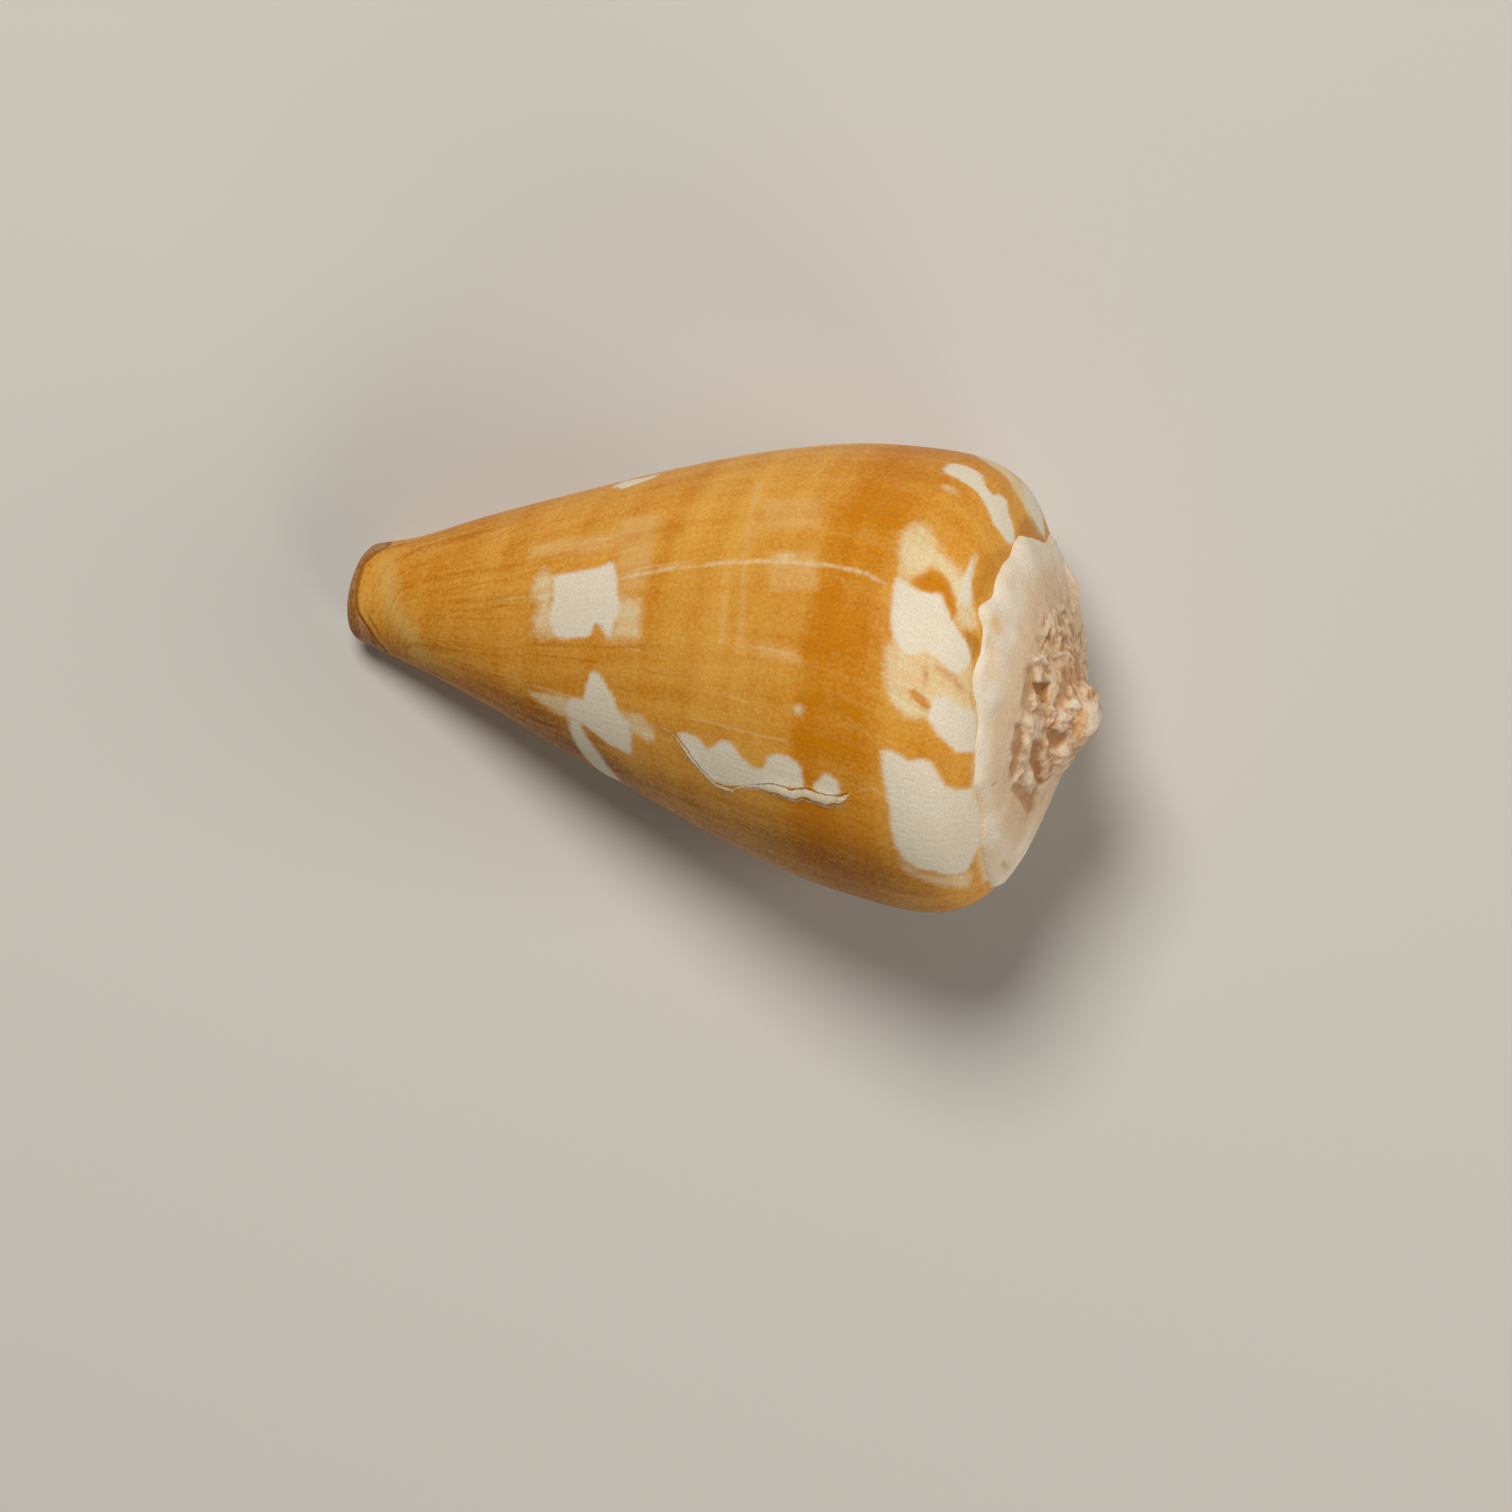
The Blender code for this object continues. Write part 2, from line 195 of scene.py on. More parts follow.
# Markings of the whorl, as the photograph shows them: the layer, how soft the edge is, half the
# width of a line or a spot (0 for an outline that is filled), and its points in pixels.
WHORL_MARKS = (
    ("white", 0.10, 0, (
        (553, 576), (593, 569), (604, 566), (611, 561), (615, 565), (618, 583), (617, 595), (620, 605),
        (618, 615), (613, 626), (611, 640), (607, 639), (600, 625), (596, 623), (593, 626), (592, 634),
        (586, 637), (563, 639), (556, 637), (552, 631), (549, 621), (549, 613), (553, 603), (554, 590),
    )),
    ("white", 0.10, 0, (
        (593, 671), (600, 674), (606, 685), (615, 699), (618, 712), (629, 722), (631, 734), (632, 755),
        (621, 750), (608, 744), (596, 734), (586, 726), (578, 721), (568, 716), (566, 703), (571, 698),
        (583, 699), (586, 687), (589, 675),
    )),
    ("white", 0.11, 0, (
        (678, 733), (688, 733), (698, 738), (708, 750), (716, 744), (723, 740), (731, 743), (743, 759),
        (750, 765), (758, 769), (764, 768), (768, 756), (774, 754), (786, 756), (798, 763), (801, 769),
        (803, 783), (806, 788), (776, 786), (760, 789), (726, 784), (713, 781), (703, 772), (690, 757),
    )),
    ("white", 0.11, 0, (
        (813, 787), (815, 783), (822, 776), (828, 773), (834, 778), (839, 784), (840, 795), (831, 798),
        (821, 796),
    )),
    ("white", 0.10, 0, (
        (897, 578), (905, 580), (911, 586), (922, 591), (930, 593), (939, 591), (944, 597), (951, 619),
        (970, 648), (971, 658), (966, 667), (960, 674), (951, 673), (933, 655), (925, 651), (919, 654),
        (908, 655), (900, 649), (894, 639), (891, 626), (891, 611), (894, 586),
    )),
    ("white", 0.10, 0, (
        (978, 550), (976, 562), (972, 578), (972, 598), (968, 606), (962, 606), (958, 598), (960, 584),
        (965, 572), (971, 562),
    )),
    ("white", 0.10, 0, (
        (944, 468), (951, 463), (963, 465), (973, 469), (982, 475), (985, 485), (992, 495), (1001, 495),
        (1007, 500), (1008, 512), (1015, 534), (1014, 544), (1008, 544), (993, 523), (983, 500),
        (976, 491), (966, 484), (945, 473),
    )),
    ("white", 0.10, 0, (
        (934, 697), (946, 695), (955, 704), (967, 709), (976, 712), (977, 730), (975, 752), (956, 752),
        (936, 733), (929, 719), (931, 707),
    )),
    ("white", 0.12, 0, (
        (881, 750), (891, 750), (900, 754), (906, 760), (917, 759), (929, 760), (937, 772), (946, 786),
        (956, 790), (972, 788), (979, 806), (982, 821), (981, 840), (974, 857), (966, 872), (946, 875),
        (934, 871), (917, 869), (905, 860), (896, 847), (891, 829), (889, 804), (882, 769),
    )),
    ("pale", 0.30, 0, (
        (543, 571), (552, 576), (554, 590), (549, 623), (552, 636), (534, 634), (535, 616), (538, 606),
        (533, 591), (536, 578),
    )),
    ("pale", 0.26, 0, (
        (615, 598), (630, 597), (641, 601), (640, 620), (639, 636), (613, 638), (617, 610),
    )),
    ("pale", 0.22, 0, (
        (530, 693), (548, 695), (566, 698), (570, 706), (570, 717), (556, 713), (542, 704),
    )),
    ("pale", 0.18, 0, ((619, 712), (642, 716), (654, 729), (654, 741), (646, 741), (629, 727))),
    ("pale", 0.22, 0, (
        (905, 532), (916, 526), (926, 526), (932, 534), (932, 544), (929, 560), (925, 570), (919, 578),
        (914, 572), (916, 561), (904, 544),
    )),
    ("pale", 0.26, 0, (
        (933, 536), (940, 552), (960, 570), (974, 602), (977, 626), (963, 629), (955, 619), (953, 597),
        (946, 578), (934, 566), (925, 569), (914, 577), (901, 578), (899, 553), (902, 532), (916, 522),
    )),
    ("pale", 0.20, 0, (
        (886, 643), (972, 643), (972, 666), (970, 692), (974, 714), (940, 730), (925, 718), (908, 718),
        (896, 708), (888, 694), (884, 674),
    )),
    ("pale", 0.22, 0, (
        (898, 858), (920, 872), (946, 876), (972, 872), (968, 888), (950, 886), (925, 880), (905, 872),
    )),
    ("white", 0.16, 0, (
        (1020, 482), (1030, 490), (1039, 505), (1043, 521), (1045, 538), (1037, 532), (1032, 516),
        (1025, 500),
    )),
    ("pale", 0.10, 0.16, ((798, 709),)),
    ("pale", 0.05, 0.03, ((721, 642),)),
    ("pale", 0.26, 0.08, ((780, 556), (790, 558))),
    ("light", 0.20, 0, ((768, 553), (816, 549), (817, 590), (767, 593))),
    ("light", 0.30, 0, ((764, 502), (822, 500), (818, 526), (762, 528))),
    ("light", 0.25, 0, ((755, 640), (796, 650), (800, 663), (756, 654))),
    ("pale", 0.24, 0.10, ((946, 487), (955, 491))),
    ("white", 0.07, 0, (
        (612, 487), (625, 481), (645, 475), (658, 471), (656, 477), (640, 483), (622, 489),
    )),
    ("orange", 0.10, 0, (
        (908, 690), (915, 689), (925, 697), (931, 705), (928, 710), (921, 707), (913, 699),
    )),
    ("orange", 0.22, 0.06, ((938, 668), (946, 673), (960, 686))),
    ("orange", 0.20, 0.05, ((925, 668), (926, 680))),
    ("orange", 0.12, 0, (
        (926, 573), (933, 571), (942, 573), (948, 582), (956, 601), (957, 614), (952, 619), (947, 606),
        (941, 592), (930, 593), (920, 590), (912, 584), (914, 578),
    )),
    ("pale", 0.24, 0.05, ((906, 806), (914, 810))),
    ("wedge", 0.07, 0, ((965, 630), (977, 636), (980, 642), (977, 655), (972, 662), (967, 645))),
    ("wedge", 0.30, 0, ((1018, 536), (1018, 522), (1034, 520), (1042, 537))),
    ("wedge", 0.40, 0, ((1008, 550), (996, 568), (984, 596), (974, 602), (976, 580), (984, 560))),
    ("light", 0.30, 0, ((622, 520), (658, 514), (652, 556), (644, 590), (618, 594))),
    ("light", 0.16, 0.10, ((759, 484), (753, 510), (748, 534), (744, 577), (742, 618), (741, 650))),
    ("light", 0.16, 0.07, ((727, 560), (724, 600), (722, 642))),
    ("light", 0.25, 0, ((530, 545), (590, 536), (640, 528), (640, 545), (580, 552), (530, 560))),
    ("white", 0.18, 0, (
        (568, 716), (580, 722), (587, 737), (599, 753), (621, 781), (606, 777), (586, 758), (576, 744),
        (570, 730),
    )),
    ("pale", 0.20, 0.15, (
        (973, 676), (976, 700), (979, 730), (976, 760), (974, 790), (981, 820), (981, 850), (986, 880),
    )),
    # Brown mottling along the lower outline, which is also painted shade of the lower side; the second,
    # softer outline is mostly that painted shade.
    ("mottled", 0.80, 0, (
        (396, 644), (424, 652), (460, 666), (510, 690), (560, 712), (600, 742), (640, 775), (700, 808),
        (640, 800), (560, 752), (470, 702), (420, 676),
    )),
    ("mottled", 1.80, 0, (
        (590, 745), (640, 770), (700, 795), (760, 815), (820, 838), (880, 862), (930, 885), (920, 898),
        (860, 885), (800, 863), (740, 837), (680, 810), (620, 776),
    )),
    ("crescent", 0.50, 0.28, ((388, 566), (388, 590), (396, 614), (408, 634), (425, 660))),
)
# Fine pale and dark lines of the whorl: the layer, half the width, and their points in pixels.
WHORL_LINES = (
    ("line", 0.085, (
        (612, 580), (632, 576), (660, 570), (683, 567), (733, 562), (783, 562), (834, 566), (864, 573),
        (878, 580), (894, 589),
    )),
    ("line", 0.040, ((616, 573), (640, 569), (676, 563), (706, 560))),
    ("line", 0.022, ((512, 681), (539, 687), (566, 695), (600, 706), (619, 714), (640, 717))),
    ("line", 0.018, ((556, 716), (586, 722), (616, 728))),
    ("line", 0.024, ((660, 715), (701, 720), (715, 723), (736, 730), (760, 735), (783, 741), (806, 753))),
    ("line", 0.020, ((640, 725), (666, 729), (677, 739), (684, 748), (692, 757))),
    ("line", 0.020, ((853, 795), (859, 791), (869, 788), (877, 790), (884, 796), (889, 806))),
    ("line", 0.020, ((859, 781), (870, 784), (882, 789))),
    ("line", 0.022, ((478, 603), (505, 599), (541, 596), (556, 594))),
    ("line", 0.024, ((560, 543), (600, 540), (640, 534))),
    ("line", 0.020, ((545, 552), (590, 549), (625, 545))),
    ("line", 0.022, ((722, 640), (756, 647), (790, 653), (802, 660))),
    ("line", 0.018, ((470, 668), (500, 674), (540, 683))),
    ("line", 0.020, ((700, 690), (740, 700), (775, 712))),
    ("line", 0.018, ((560, 620), (640, 652), (700, 668))),
    ("shade", 0.040, ((376, 556), (384, 550), (402, 544), (431, 536), (452, 531), (480, 525))),
    ("shade", 0.030, ((398, 566), (404, 559), (417, 549), (449, 539), (484, 531), (520, 524))),
    ("shade", 0.020, ((385, 580), (392, 568), (402, 560))),
    ("shade", 0.026, ((498, 645), (540, 645), (575, 646), (610, 647), (653, 646), (700, 650))),
    ("shade", 0.020, ((504, 652), (540, 655), (590, 661), (640, 668))),
    ("shade", 0.022, ((621, 663), (653, 673), (700, 680))),
    ("shade", 0.018, ((520, 636), (560, 642), (600, 650))),
    ("shade", 0.022, ((640, 656), (645, 646), (650, 640))),
    ("shade", 0.016, ((470, 610), (500, 606), (530, 605))),
    ("shade", 0.016, ((640, 500), (700, 486), (760, 474))),
    ("shade", 0.016, ((520, 530), (560, 520), (620, 507))),
    ("shade", 0.060, ((364, 600), (370, 618), (380, 635), (390, 648))),
    ("shade", 0.022, ((600, 735), (625, 760), (650, 785))),
)
# The healed break: its points in pixels, and half the width of its pale edge at each.
SCAR = (
    (640, 725, 0.006), (660, 727, 0.012), (670, 732, 0.018), (677, 738, 0.030), (692, 757, 0.060),
    (708, 777, 0.036), (716, 783, 0.060), (725, 787, 0.072), (731, 788, 0.060), (743, 787, 0.022),
    (753, 786, 0.022), (760, 785, 0.070), (768, 784, 0.120), (775, 784, 0.140), (784, 787, 0.155),
    (792, 790, 0.145), (799, 789, 0.130), (805, 788, 0.145), (815, 792, 0.150), (825, 795, 0.155),
    (833, 796, 0.120), (840, 796, 0.110), (847, 795, 0.060), (853, 794, 0.030),
)
# The groove behind the front end's rim in pixels, and where the photograph doesn't show it: how far
# it lies from the front end, and the angles at which it lies there.
RIM_GROOVE = (
    (386, 650), (374, 638), (366, 626), (357, 612), (355, 596), (358, 578), (363, 564), (375, 553),
    (388, 546),
)
RIM_WIDTH_BEHIND = 0.50
RIM_ANGLES_BEHIND = (115.0, 150.0, 200.0, 232.0)
# Marks of the same kind on the side that the photograph does not show, and the mottling with its painted
# shade further round the lower side: the number of the mark above, counted from 0, and how far each
# copy lies from it along the shell and round it.
HIDDEN_MARKS = (
    (0, 1.5, 104.0), (0, -0.8, -128.0), (1, 2.6, 175.0), (1, -1.2, 128.0), (2, -5.0, 150.0),
    (2, -2.5, -85.0), (4, 0.0, 88.0), (4, -0.1, -150.0), (8, -0.2, 165.0), (8, 0.1, -142.0),
    (7, 0.0, 150.0), (5, 0.2, 120.0), (6, 0.3, 118.0), (9, 1.5, 104.0), (10, 1.5, 104.0),
    (9, -0.8, -128.0), (10, -0.8, -128.0), (12, 2.6, 175.0), (14, 0.0, 88.0), (15, 0.0, 88.0),
    (15, 0.0, -158.0), (14, 0.0, -150.0), (18, 2.0, 140.0), (18, -3.0, -100.0), (40, 0.0, -14.0),
    (40, 0.3, -28.0), (41, 0.0, -14.0), (41, 0.0, -28.0),
)

# Ridges, nodules and pits of the growth: height, half the width (of an area, how soft its edge
# is), how pale (up to 1) or brown (down to -1), and the pixels that a line joins, that stand
# alone, or that an area lies between.
LINE, SPOTS, AREA = "line", "spots", "area"
GROWTH_RELIEF = (
    (0.05, 0.35, 0.00, SPOTS, (
        (1008, 600), (1000, 660), (992, 700), (990, 760), (1005, 815), (1030, 560),
    )),
    (-0.07, 0.10, -0.75, AREA, (
        (1016, 725), (1022, 724), (1026, 734), (1023, 746), (1021, 758), (1019, 768), (1015, 777),
        (1011, 779), (1010, 770), (1013, 758), (1013, 742),
    )),
    (-0.05, 0.10, -0.80, AREA, (
        (1014, 784), (1022, 783), (1027, 788), (1031, 795), (1036, 795), (1034, 804), (1032, 813),
        (1029, 815), (1025, 810), (1021, 803), (1016, 797), (1012, 790),
    )),
    (-0.12, 0.08, -1.00, AREA, (
        (1036, 738), (1040, 744), (1041, 756), (1040, 763), (1042, 771), (1041, 779), (1045, 780),
        (1041, 786), (1038, 783), (1034, 775), (1031, 765), (1031, 752), (1033, 742),
    )),
    (-0.03, 0.13, -0.45, AREA, (
        (1036, 706), (1046, 705), (1051, 711), (1050, 719), (1045, 727), (1038, 731), (1033, 723),
        (1032, 715),
    )),
    (-0.07, 0.11, -0.75, AREA, (
        (1070, 664), (1077, 664), (1083, 672), (1083, 682), (1070, 687), (1068, 697), (1063, 708),
        (1056, 710), (1055, 703), (1058, 695), (1060, 686), (1064, 676), (1067, 669),
    )),
    (-0.14, 0.11, -1.00, AREA, (
        (1049, 732), (1056, 733), (1063, 732), (1068, 730), (1068, 738), (1065, 744), (1059, 749),
        (1053, 751), (1050, 746),
    )),
    (-0.05, 0.11, -0.65, AREA, (
        (1026, 682), (1030, 665), (1036, 663), (1037, 674), (1036, 686), (1034, 696), (1027, 704),
        (1022, 710), (1021, 703), (1023, 693),
    )),
    (0.08, 0.09, 0.65, AREA, (
        (1085, 703), (1093, 701), (1098, 707), (1099, 713), (1098, 721), (1095, 729), (1091, 734),
        (1084, 738), (1083, 733), (1085, 725), (1086, 711),
    )),
    (0.10, 0.08, 0.65, AREA, (
        (1066, 704), (1073, 698), (1079, 702), (1082, 707), (1074, 710), (1066, 708),
    )),
    (0.10, 0.08, 0.59, AREA, ((1058, 716), (1063, 712), (1073, 715), (1070, 722), (1060, 722))),
    (0.07, 0.08, 0.33, AREA, ((1051, 726), (1059, 723), (1063, 727), (1058, 731), (1051, 730))),
    (0.10, 0.08, 0.59, AREA, (
        (1020, 722), (1026, 718), (1032, 715), (1032, 722), (1031, 729), (1027, 727), (1024, 723),
    )),
    (0.06, 0.11, 0.33, AREA, (
        (1026, 730), (1032, 732), (1031, 744), (1030, 756), (1026, 764), (1022, 762), (1022, 750),
        (1025, 738),
    )),
    (0.05, 0.11, 0.52, AREA, (
        (1026, 766), (1032, 771), (1036, 779), (1034, 785), (1028, 786), (1023, 781), (1021, 775),
    )),
    (0.13, 0.13, 0.39, AREA, (
        (1052, 753), (1059, 751), (1067, 747), (1073, 752), (1067, 761), (1060, 766), (1054, 763),
        (1057, 758),
    )),
    (0.07, 0.08, -0.30, SPOTS, ((1089, 693), (1092, 695))),
    (0.14, 0.12, -0.20, SPOTS, ((1085, 691), (1089, 692), (1093, 696))),
    (0.08, 0.06, 0.70, LINE, ((1022, 771), (1019, 775), (1016, 780))),
    (0.09, 0.05, 0.52, LINE, ((1051, 708), (1056, 712), (1053, 720), (1047, 727))),
    (0.08, 0.05, 0.60, LINE, ((1033, 696), (1036, 704), (1031, 710))),
    (0.12, 0.06, 0.72, LINE, ((1035, 660), (1041, 657), (1046, 664))),
    (0.10, 0.045, 0.59, LINE, ((1056, 656), (1060, 653), (1067, 655), (1072, 661))),
    (-0.26, 0.09, -2.20, AREA, (
        (1035, 683), (1050, 684), (1048, 701), (1043, 702), (1042, 693), (1037, 693),
    )),
    (-0.09, 0.04, -1.10, LINE, ((1056, 772), (1049, 778), (1043, 784))),
    (-0.07, 0.03, -0.70, LINE, ((1050, 787), (1043, 796), (1040, 803))),
    (-0.035, 0.022, -0.80, LINE, ((986, 791), (993, 786), (998, 783))),
    (-0.02, 0.05, -0.25, SPOTS, ((985, 702), (989, 718), (979, 740))),
    (0.04, 0.06, 0.33, SPOTS, ((1009, 747), (1046, 593))),
    (-0.10, 0.08, -1.00, SPOTS, ((1045, 623),)),
    (-0.06, 0.05, -0.75, LINE, ((1051, 627), (1049, 636), (1045, 643), (1042, 650))),
    (0.05, 0.07, 0.33, LINE, ((1045, 634), (1047, 628), (1052, 624))),
    (-0.07, 0.06, -0.60, SPOTS, ((1056, 646), (1070, 639))),
    (0.09, 0.09, 0.40, SPOTS, (
        (1062, 607), (1054, 612), (1066, 620), (1060, 630), (1068, 648), (1058, 638),
    )),
    (-0.07, 0.05, -0.55, LINE, ((1058, 616), (1062, 612), (1066, 612))),
    (-0.06, 0.05, -0.50, LINE, ((1064, 629), (1066, 636), (1062, 643))),
    (-0.05, 0.035, -0.35, LINE, ((1053, 556), (1056, 567), (1057, 578))),
    (-0.04, 0.03, -0.30, LINE, ((1062, 566), (1064, 574))),
    (0.05, 0.05, 0.30, LINE, ((1018, 538), (1032, 540), (1043, 545), (1052, 555), (1055, 566))),
    (-0.05, 0.04, -0.35, LINE, ((1034, 536), (1044, 540), (1054, 548))),
    (-0.10, 0.08, -0.60, LINE, ((1003, 863), (1006, 873))),
    (-0.09, 0.07, -0.60, LINE, ((1015, 860), (1010, 870))),
    (0.08, 0.07, 0.70, LINE, ((1010, 862), (1004, 872))),
    (0.05, 0.07, 0.30, SPOTS, ((996, 838), (1004, 846), (992, 850), (1013, 848), (1001, 828))),
    (0.06, 0.05, 0.45, LINE, ((985, 631), (981, 638), (980, 648))),
)
# The edge of the growth's rough middle: in pixels, and on the far side in millimetres, as seen
# along the axis.
ROUGH_EDGE = (
    (1060, 769), (1043, 787), (1030, 812), (1023, 805), (1014, 782), (1012, 760), (1014, 727),
    (1019, 718), (1027, 672), (1036, 659), (1037, 640), (1043, 620), (1052, 604),
)
FAR_ROUGH_EDGE = ((3.4, -0.6), (3.3, -2.6), (2.2, -4.2), (0.2, -4.5), (-1.8, -3.6), (-2.9, -2.0))
# Stains of the growth, given as the whorl's markings are.
GROWTH_STAINS = (
    ("orange", 0.16, 0, ((991, 615), (999, 617), (1002, 627), (998, 634), (992, 630), (988, 623))),
    ("orange", 0.45, 0.05, ((990, 640), (992, 656), (993, 674))),
    ("orange", 0.08, 0, (
        (1077, 711), (1085, 710), (1083, 721), (1083, 728), (1081, 738), (1076, 741), (1074, 735),
        (1075, 723),
    )),
    ("orange", 0.40, 0.04, ((977, 790), (979, 812), (981, 835))),
    ("green", 0.40, 0.20, ((985, 850), (994, 866), (1010, 866))),
)


def millimetres(label, text, value):
    return bpy.props.FloatProperty(name=label, description=text, default=value * MM, unit="LENGTH")


class ShellSizes(bpy.types.PropertyGroup):
    """The sizes of the shell that can be changed"""

    lip_wall: millimetres("Lip wall", "How thick the wall is at the lip's edge", 0.45)
    deep_wall: millimetres("Deep wall", "How thick the wall is inside the hollow", 0.85)
    rim_bulge: millimetres("Rim bulge", "How far the front end's rim is rounded over", 0.07)
    scar_height: millimetres("Scar height", "How high the healed break stands", 0.07)
    lump_height: millimetres("Lump height", "How high the growth's lumps are", 0.07)
    striae_depth: millimetres("Growth line depth", "How deep the fine growth lines are", 0.006)


def colour(label, text, values):
    return bpy.props.FloatVectorProperty(
        name=label, description=text, default=(*values, 1.0), size=4, subtype="COLOR", min=0.0, max=1.0
    )


class ShellColours(bpy.types.PropertyGroup):
    """The colours of the shell that can be changed"""

    light_orange: colour("Light orange", "The pale bands of the outside", (0.77, 0.39, 0.068))
    deep_orange: colour("Deep orange", "The deep bands of the outside", (0.60, 0.205, 0.005))
    # Brown is laid on also as painted shade along the lower side and as the painted shadow beside the scar.
    brown: colour("Brown", "The mottling and the grooves of the outside", (0.24, 0.072, 0.003))
    white: colour("White", "The patches", (0.79, 0.70, 0.54))
    cream: colour("Cream", "The pale borders of the patches", (0.81, 0.65, 0.38))
    rim: colour("Rim", "The rim of the front end", (0.46, 0.24, 0.13))
    crescent: colour("Crescent", "The pale zone behind the front end's rim", (0.71, 0.43, 0.12))
    inside: colour("Inside", "The hollow behind the lip", (0.7, 0.58, 0.49))
    smooth_growth: colour("Smooth growth", "The smooth part of the spire's growth", (0.74, 0.56, 0.375))
    rough_growth: colour("Rough growth", "The rough part of the spire's growth", (0.67, 0.45, 0.27))
    brown_growth: colour("Brown growth", "The pits and grooves of the growth", (0.40, 0.175, 0.055))
    pale_growth: colour("Pale growth", "The ridges and nodules of the growth", (0.84, 0.75, 0.60))


def sizes():
    return bpy.context.scene.shell_sizes


def colours():
    return bpy.context.scene.shell_colours


def smooth_step(share):
    share = np.clip(share, 0.0, 1.0)
    return share * share * (3 - 2 * share)


def through(rows, place):
    """A smooth curve through the rows of a table, read at row numbers between two rows as well."""
    last = len(rows) - 1
    place = np.asarray(place, dtype=float)
    here = np.clip(place.astype(int), 0, last - 1)
    part = (place - here)[..., None]
    before, start = rows[np.maximum(here - 1, 0)], rows[here]
    end, after = rows[here + 1], rows[np.minimum(here + 2, last)]
    leave, arrive = (end - before) / 2, (after - start) / 2
    return (
        start * (2 * part**3 - 3 * part**2 + 1)
        + leave * (part**3 - 2 * part**2 + part)
        + end * (3 * part**2 - 2 * part**3)
        + arrive * (part**3 - part**2)
    )


def shell_points(height, radius, angle):
    """Points of the shell's own frame, from their places about the axis."""
    turn = np.radians(angle)
    return np.stack((height, radius * np.sin(turn), radius * np.cos(turn)), -1)


def whorl_place(row, turns):
    """Height, radius and angle on the whorl's outside, so many turns after the lip's edge."""
    height, radius, growth, lag = np.moveaxis(through(OUTLINE, row), -1, 0)
    angle = LIP_ANGLE - lag + 360 * turns
    grown = (angle - SIDE_ANGLE) / 360
    dent = sum(depth * np.exp(-(((angle - middle) / spread) ** 2)) for depth, middle, spread in DENTS)
    rise = -RISE_PER_TURN * grown - dent
    return height + rise * (height / SHOULDER_HEIGHT) ** 3, radius * growth**grown, angle


def inner_place(row, turns):
    """The place under the wall, straight inward, and downward too where the shoulder closes."""
    height, radius, angle = whorl_place(row, turns)
    lip_wall, deep_wall = sizes().lip_wall / MM, sizes().deep_wall / MM
    wall = lip_wall + (deep_wall - lip_wall) * smooth_step(-turns / WALL_GROWS_OVER)
    room = radius - whorl_place(row, turns - 1)[1]
    wall = np.minimum(wall, WALL_SHARE * room)
    tilt = np.radians(SHOULDER_TILT) * smooth_step((row - WIDEST_ROW) / (WALL_TOP_ROW - WIDEST_ROW))
    return height - wall * np.sin(tilt), radius - wall * np.cos(tilt), angle


# The outline in fine steps: the row number of each, and how far along the outline it lies.
FINE_STEPS = 3000
FINE_ROWS = np.linspace(0, SEAM_ROW, FINE_STEPS)
FINE_LENGTHS = np.concatenate(
    ([0], np.cumsum(np.linalg.norm(np.diff(through(OUTLINE, FINE_ROWS)[:, :2], axis=0), axis=1)))
)


def even_rows():
    """Row numbers that lie evenly along the outline."""
    return np.interp(np.linspace(0, FINE_LENGTHS[-1], WHORL_ROWS), FINE_LENGTHS, FINE_ROWS)


def length_at(row):
    """How far along the outline a row number lies, from the front end."""
    return np.interp(row, FINE_ROWS, FINE_LENGTHS)


def radius_at(length, angle):
    row = np.interp(length, FINE_LENGTHS, FINE_ROWS)
    turns = (angle - LIP_ANGLE + through(OUTLINE, row)[..., 3]) / 360
    return whorl_place(row, turns)[1]


def whorl_grid():
    """The last whorl as rows of closed loops: points, row numbers, turns and inner side of each.

    A loop is the hollow's floor, the outside of the last turn, the lip and the wall's inside.
    """
    row = even_rows()[:, None]
    share = row / SEAM_ROW
    floor_turns = np.linspace(-1 - HOLLOW_TURNS, -1, HOLLOW_COLUMNS, endpoint=False)
    outer_turns = np.linspace(-1, 0, OUTSIDE_COLUMNS + 1)
    turns = np.concatenate((floor_turns, outer_turns))[None]
    floor = 1 - smooth_step((turns + 1) / FLOOR_FADES_OVER)
    outer_rows = row + (FLOOR_TOP_ROW * share - row) * floor
    outer = shell_points(*whorl_place(outer_rows, turns))

    wall_turns = np.linspace(0, -HOLLOW_TURNS, HOLLOW_COLUMNS + 1)[None]
    wall_rows = WALL_TOP_ROW * share + 0 * wall_turns
    wall = shell_points(*inner_place(WALL_TOP_ROW * share, wall_turns))
    deep = np.linspace(1, 0, HOLLOW_COLUMNS + 1)[None, :, None] / SLIT_SHARE
    floor_under = outer[:, HOLLOW_COLUMNS::-1]
    wall = wall + (floor_under - wall) * SLIT_CLOSES_BY * (1 - smooth_step(deep))

    edge_out, edge_in = outer[:, -1:], wall[:, :1]
    middle, half = (edge_out + edge_in) / 2, (edge_out - edge_in) / 2
    forward = outer[:, -1:] - outer[:, -2:-1]
    forward = forward / np.linalg.norm(forward, axis=-1, keepdims=True)
    swing = np.linspace(0, np.pi, LIP_COLUMNS + 2)[1:-1][None, :, None]
    thick = np.linalg.norm(half, axis=-1, keepdims=True)
    lip = middle + half * np.cos(swing) + forward * thick * np.sin(swing)

    points = np.concatenate((outer, lip, wall), 1)
    rows = np.concatenate((outer_rows, np.repeat(outer_rows[:, -1:], LIP_COLUMNS, 1), wall_rows), 1)
    lip_turns = np.zeros((1, LIP_COLUMNS))
    turns = np.repeat(np.concatenate((turns, lip_turns, wall_turns), 1), len(row), 0)
    inner = np.zeros(len(points[0]))
    inner[: HOLLOW_COLUMNS] = 1
    inner[-HOLLOW_COLUMNS - 1 :] = 1
    return points, rows, turns, np.repeat(inner[None], len(row), 0)


